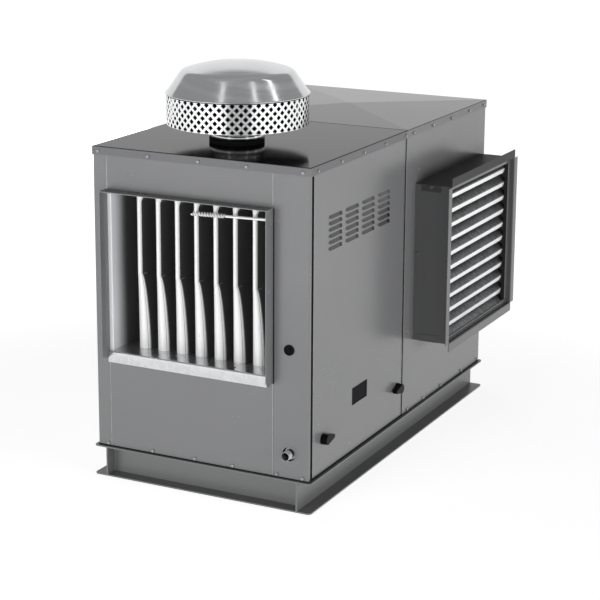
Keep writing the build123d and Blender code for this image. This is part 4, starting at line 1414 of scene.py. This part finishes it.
class HEATER_OT_add_gas_pipe(Operator):
    """Make the threaded pipe end and the coupling behind it"""

    bl_idname = "heater.add_gas_pipe"
    bl_label = "Add the Gas Pipe"

    bore_radius: FloatProperty(name="Bore radius", unit="LENGTH", default=0.0105)
    bore_depth: FloatProperty(name="Bore depth", unit="LENGTH", default=0.060)
    stub_radius: FloatProperty(name="Pipe radius", unit="LENGTH", default=0.01335)
    stub_length: FloatProperty(name="Pipe length", unit="LENGTH", default=0.030)
    thread_length: FloatProperty(name="Thread length", unit="LENGTH", default=0.0165)

    def execute(self, context):
        low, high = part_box("gas_pipe")
        axis_x, axis_z = (low.x + high.x) / 2, (low.z + high.z) / 2
        coupling_radius = (high.x - low.x) / 2
        length = high.y - low.y
        count = 48
        thread_depths, thread_radii = self.thread_rows(settings()[1], count)
        band = 0.006
        inner = [(0.0, self.bore_depth), (self.bore_radius, self.bore_depth), (self.bore_radius, 0.0012)]
        mouth = [(self.bore_radius + 0.0008, 0.0), (self.stub_radius - 0.0014, 0.0)]
        outer = [
            (self.stub_radius, self.thread_length + 0.001),
            (self.stub_radius, self.stub_length),
            (coupling_radius - 0.0012, self.stub_length),
            (coupling_radius, self.stub_length + 0.0012),
            (coupling_radius, self.stub_length + band),
            (coupling_radius - 0.0008, self.stub_length + band + 0.0008),
            (coupling_radius - 0.0008, length - band),
            (coupling_radius, length - band + 0.0008),
            (coupling_radius, length - 0.0012),
            (coupling_radius - 0.0012, length),
            (0.0, length),
        ]
        plain = [np.full((len(rows), count), np.array([r for r, d in rows])[:, None]) for rows in (inner + mouth, outer)]
        radii = np.concatenate([plain[0], thread_radii, plain[1]])
        depths = [d for r, d in inner + mouth] + thread_depths.tolist() + [d for r, d in outer]
        pipe = capped(lathe(radii, -np.array(depths), count))
        piece = add_piece(
            "threaded_gas_pipe", copies(pipe, [facing((axis_x, low.y, axis_z), (0, -1, 0))]), "pipe_steel"
        )
        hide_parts("gas_pipe")
        return {"FINISHED"}

    def thread_rows(self, hardware, count):
        """Depths and radii of the thread: the radius falls from the crest by the thread's depth
        times a triangle wave of depth over pitch minus angle over a turn."""
        rows_a_turn = 6
        rows = int(self.thread_length / hardware.thread_pitch * rows_a_turn)
        depth = 0.0008 + np.arange(rows) * hardware.thread_pitch / rows_a_turn
        angle = np.arange(count) / count
        phase = np.mod(depth[:, None] / hardware.thread_pitch - angle[None, :], 1.0)
        valley = 1.0 - np.abs(2.0 * phase - 1.0)
        taper = (self.thread_length - depth[:, None]) / 32
        return depth, self.stub_radius - taper - hardware.thread_depth * valley


class HEATER_OT_add_weld_beads(Operator):
    """Lay the weld beads where the cross rails meet the side rails"""

    bl_idname = "heater.add_weld_beads"
    bl_label = "Add the Weld Beads"

    wall: FloatProperty(name="Rail wall", unit="LENGTH", default=0.004)
    ripple: FloatProperty(name="Ripple", description="Length of one ripple", unit="LENGTH", default=0.0035)

    def execute(self, context):
        radius = settings()[1].bead_radius
        forms = []
        for rail_name, outward in (("base_rail_front", -1), ("base_rail_rear", 1)):
            low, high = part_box(rail_name)
            web_y = high.y - self.wall if outward < 0 else low.y + self.wall
            for corner_x in (low.x, high.x):
                bottom = Vector((corner_x, web_y, low.z + self.wall))
                top = Vector((corner_x, web_y, high.z - self.wall))
                forms.append(self.bead(bottom, top, radius))
        add_piece("rail_weld_beads", joined(*forms), "rail_paint")
        return {"FINISHED"}

    def bead(self, start, end, radius):
        """A bead along a corner: a round bar whose radius swells and falls by a tenth over each ripple."""
        count = 12
        length = (end - start).length
        rows = int(length / self.ripple * 4)
        along = np.linspace(0.0, length, rows)
        swell = radius * (0.9 + 0.1 * np.abs(np.sin(pi * along / self.ripple)))
        form = capped(lathe(swell, along, count))
        return copies(form, [facing(start, end - start)])


# Stage


def soft_lamp(name, target, direction, distance, width, height, power):
    """A large rectangular lamp that faces the target from a direction."""
    lamp = bpy.data.lights.new(name, "AREA")
    lamp.shape = "RECTANGLE"
    lamp.size = width
    lamp.size_y = height
    lamp.energy = power
    holder = bpy.data.objects.new(name, lamp)
    holder.visible_glossy = False
    holder.visible_camera = False
    bpy.context.scene.collection.objects.link(holder)
    away = Vector(direction).normalized()
    holder.matrix_world = Matrix.Translation(target + distance * away) @ away.to_track_quat("Z", "Y").to_matrix().to_4x4()
    return holder


def floor_material(name, back, right):
    """Pale floor: white to the camera, white in reflections but for a dark wedge towards the
    camera, and a soft light from below elsewhere."""
    material, tree, shader = new_material(name)
    material.cycles.emission_sampling = "NONE"
    shader.inputs["Roughness"].default_value = 0.9
    shader.inputs["Specular IOR Level"].default_value = 0.0
    rays = add_node(tree, "ShaderNodeLightPath").outputs
    seen = maths(tree, "MAXIMUM", rays["Is Camera Ray"], rays["Is Glossy Ray"])
    seen = maths(tree, "MAXIMUM", seen, rays["Is Transmission Ray"])
    place = add_node(tree, "ShaderNodeTexCoord").outputs["Object"]
    away = add_node(tree, "ShaderNodeVectorMath", {0: place}, operation="LENGTH").outputs["Value"]
    glow = mapped(tree, away, 1.2, 3.0, 0.80, 1.0, smooth=True)
    angle = turned_from(tree, place, tuple(-share for share in back), right)
    wedge = maths(tree, "MULTIPLY", band_mask(tree, angle, radians(4), radians(14), radians(12)), 0.7)
    wedge = maths(tree, "MULTIPLY", wedge, rays["Is Glossy Ray"])
    glow = maths(tree, "SUBTRACT", glow, maths(tree, "MULTIPLY", wedge, mapped(tree, away, 1.2, 2.2, 0.0, 1.0)))
    strength = add_node(tree, "ShaderNodeMix", {0: seen, 2: 0.46, 3: glow}).outputs[0]
    shade = maths(tree, "SUBTRACT", 0.8, wedge)
    grey = add_node(tree, "ShaderNodeCombineColor", {0: shade, 1: shade, 2: shade}).outputs[0]
    tree.links.new(grey, shader.inputs["Base Color"])
    shader.inputs["Emission Color"].default_value = (1.0, 1.0, 1.0, 1.0)
    tree.links.new(strength, shader.inputs["Emission Strength"])
    return material


def turned_from(tree, direction, forward, right):
    """The angle in radians from forward to a direction, positive towards the right."""
    ahead = add_node(tree, "ShaderNodeVectorMath", {0: direction, 1: forward}, operation="DOT_PRODUCT")
    aside = add_node(tree, "ShaderNodeVectorMath", {0: direction, 1: right}, operation="DOT_PRODUCT")
    return maths(tree, "ARCTAN2", aside.outputs["Value"], ahead.outputs["Value"])


def band_mask(tree, value, centre, half_width, fade):
    """One within half_width of the centre and zero beyond the fade."""
    apart = maths(tree, "ABSOLUTE", maths(tree, "SUBTRACT", value, centre))
    return mapped(tree, apart, half_width, half_width + fade, 1.0, 0.0, smooth=True)


def studio_world(back, right):
    """White to the camera. Reflections see white low down all round, white up to a steep angle
    behind the object, grey above, and narrow strip lamps on the camera's side. The rest gets a
    low light that fades overhead."""
    world = bpy.data.worlds.new("studio")
    world.use_nodes = True
    world.cycles.sampling_method = "NONE"
    tree = world.node_tree
    tree.nodes.clear()
    direction = add_node(tree, "ShaderNodeTexCoord").outputs["Generated"]
    behind = add_node(
        tree, "ShaderNodeVectorMath", {0: direction, 1: back}, operation="DOT_PRODUCT"
    ).outputs["Value"]
    height = add_node(tree, "ShaderNodeSeparateXYZ", {0: direction}).outputs["Z"]
    reach = mapped(tree, behind, 0.55, 0.88, 0.16, 0.60, smooth=True)
    beyond = maths(tree, "SUBTRACT", height, reach)
    mirrored = mapped(tree, beyond, -0.03, 0.03, 1.0, 0.40, smooth=True)
    angle = turned_from(tree, direction, tuple(-share for share in back), right)
    strips = band_mask(tree, angle, radians(-36), radians(1.5), radians(3))
    for centre in (radians(42), radians(84)):
        strips = maths(tree, "MAXIMUM", strips, band_mask(tree, angle, centre, radians(1.5), radians(3)))
    strips = maths(tree, "MULTIPLY", strips, mapped(tree, height, 0.80, 0.92, 3.0, 0.0, smooth=True))
    mirrored = maths(tree, "MAXIMUM", mirrored, strips)
    ambient = mapped(tree, height, 0.03, 0.50, 0.38, 0.02, smooth=True)
    rays = add_node(tree, "ShaderNodeLightPath").outputs
    sharp = maths(tree, "MAXIMUM", rays["Is Glossy Ray"], rays["Is Transmission Ray"])
    lit = add_node(tree, "ShaderNodeMix", {0: sharp, 2: ambient, 3: mirrored}).outputs[0]
    strength = add_node(tree, "ShaderNodeMix", {0: rays["Is Camera Ray"], 2: lit, 3: 1.0}).outputs[0]
    surround = add_node(
        tree, "ShaderNodeBackground", {"Color": (1.0, 1.0, 1.0, 1.0), "Strength": strength}
    )
    add_node(tree, "ShaderNodeOutputWorld", {"Surface": surround.outputs[0]})
    bpy.context.scene.world = world


class HEATER_OT_set_stage(Operator):
    """Set the floor, the soft lamps, the white surround and the camera"""

    bl_idname = "heater.set_stage"
    bl_label = "Set the Stage"

    def execute(self, context):
        stage = settings()[2]
        scene = context.scene
        half = stage.floor_size / 2
        floor_z = -0.0005
        corners = np.array([(-half, -half), (half, -half), (half, half), (-half, half)])
        mesh = bpy.data.meshes.new("floor")
        mesh.from_pydata([(x, y, floor_z) for x, y in corners], [], [(0, 1, 2, 3)])
        yaw = stage.camera_yaw
        back, right = (-sin(yaw), cos(yaw), 0.0), (cos(yaw), sin(yaw), 0.0)
        mesh.materials.append(floor_material("studio_floor", back, right))
        floor = bpy.data.objects.new("floor", mesh)
        scene.collection.objects.link(floor)

        studio_world(back, right)
        target = (cad_box[0] + cad_box[1]) / 2
        soft_lamp("key_lamp", target, (-0.30, -1.0, 0.05), 5.0, 3.0, 1.4, stage.key_power)
        soft_lamp("fill_lamp", target, (1.0, -0.20, 0.05), 5.0, 3.0, 1.4, stage.fill_power)
        soft_lamp("side_lamp", target, (0.45, -1.0, 0.0), 5.0, 1.2, 1.4, stage.side_power)
        soft_lamp("rear_lamp", target, (-1.0, 0.75, 0.0), 5.0, 3.0, 1.2, stage.rear_power)

        lens = bpy.data.cameras.new("photo_camera")
        lens.sensor_width = 36.0
        lens.lens = stage.focal_length
        lens.shift_y = stage.frame_shift
        camera = bpy.data.objects.new("photo_camera", lens)
        scene.collection.objects.link(camera)
        camera.matrix_world = (
            Matrix.Translation(stage.camera_place)
            @ Matrix.Rotation(yaw, 4, "Z")
            @ Matrix.Rotation(pi / 2 - stage.camera_pitch, 4, "X")
            @ Matrix.Rotation(stage.camera_roll, 4, "Z")
        )
        scene.camera = camera
        scene.view_settings.view_transform = "Standard"
        return {"FINISHED"}


OPERATORS = (
    HEATER_OT_finish_nodes,
    HEATER_OT_add_screws,
    HEATER_OT_add_limit_sensor,
    HEATER_OT_add_heat_exchangers,
    HEATER_OT_add_pan_lip,
    HEATER_OT_add_collar_sides,
    HEATER_OT_add_gap_shadows,
    HEATER_OT_add_louvre_sill,
    HEATER_OT_add_vent_cap,
    HEATER_OT_add_gas_pipe,
    HEATER_OT_add_weld_beads,
    HEATER_OT_set_stage,
)


class HEATER_PT_build(Panel):
    """Sizes, colours and steps of the duct gas heater"""

    bl_label = "Duct Gas Heater"
    bl_idname = "HEATER_PT_build"
    bl_space_type = "VIEW_3D"
    bl_region_type = "UI"
    bl_category = "Heater"

    def draw(self, context):
        for group in settings():
            box = self.layout.box()
            for name in group.__annotations__:
                box.prop(group, name)
        for operator in OPERATORS:
            self.layout.operator(operator.bl_idname)


GROUPS = {"heater_finishes": HeaterFinishes, "heater_hardware": HeaterHardware, "heater_stage": HeaterStage}


def register():
    for group in GROUPS.values():
        bpy.utils.register_class(group)
    for name, group in GROUPS.items():
        setattr(bpy.types.Scene, name, PointerProperty(type=group))
    for operator in OPERATORS:
        bpy.utils.register_class(operator)
    bpy.utils.register_class(HEATER_PT_build)


def unregister():
    bpy.utils.unregister_class(HEATER_PT_build)
    for operator in reversed(OPERATORS):
        bpy.utils.unregister_class(operator)
    for name in GROUPS:
        delattr(bpy.types.Scene, name)
    for group in reversed(GROUPS.values()):
        bpy.utils.unregister_class(group)


def main():
    """Build the dressed heater on its stage."""
    register()
    bpy.ops.heater.finish_nodes()
    bpy.ops.heater.add_screws()
    bpy.ops.heater.add_limit_sensor()
    bpy.ops.heater.add_heat_exchangers()
    bpy.ops.heater.add_pan_lip()
    bpy.ops.heater.add_collar_sides()
    bpy.ops.heater.add_gap_linings()
    bpy.ops.heater.add_louvre_sill()
    bpy.ops.heater.add_vent_cap()
    bpy.ops.heater.add_gas_pipe()
    bpy.ops.heater.add_weld_beads()
    bpy.ops.heater.set_stage()


if __name__ == "__main__":
    main()
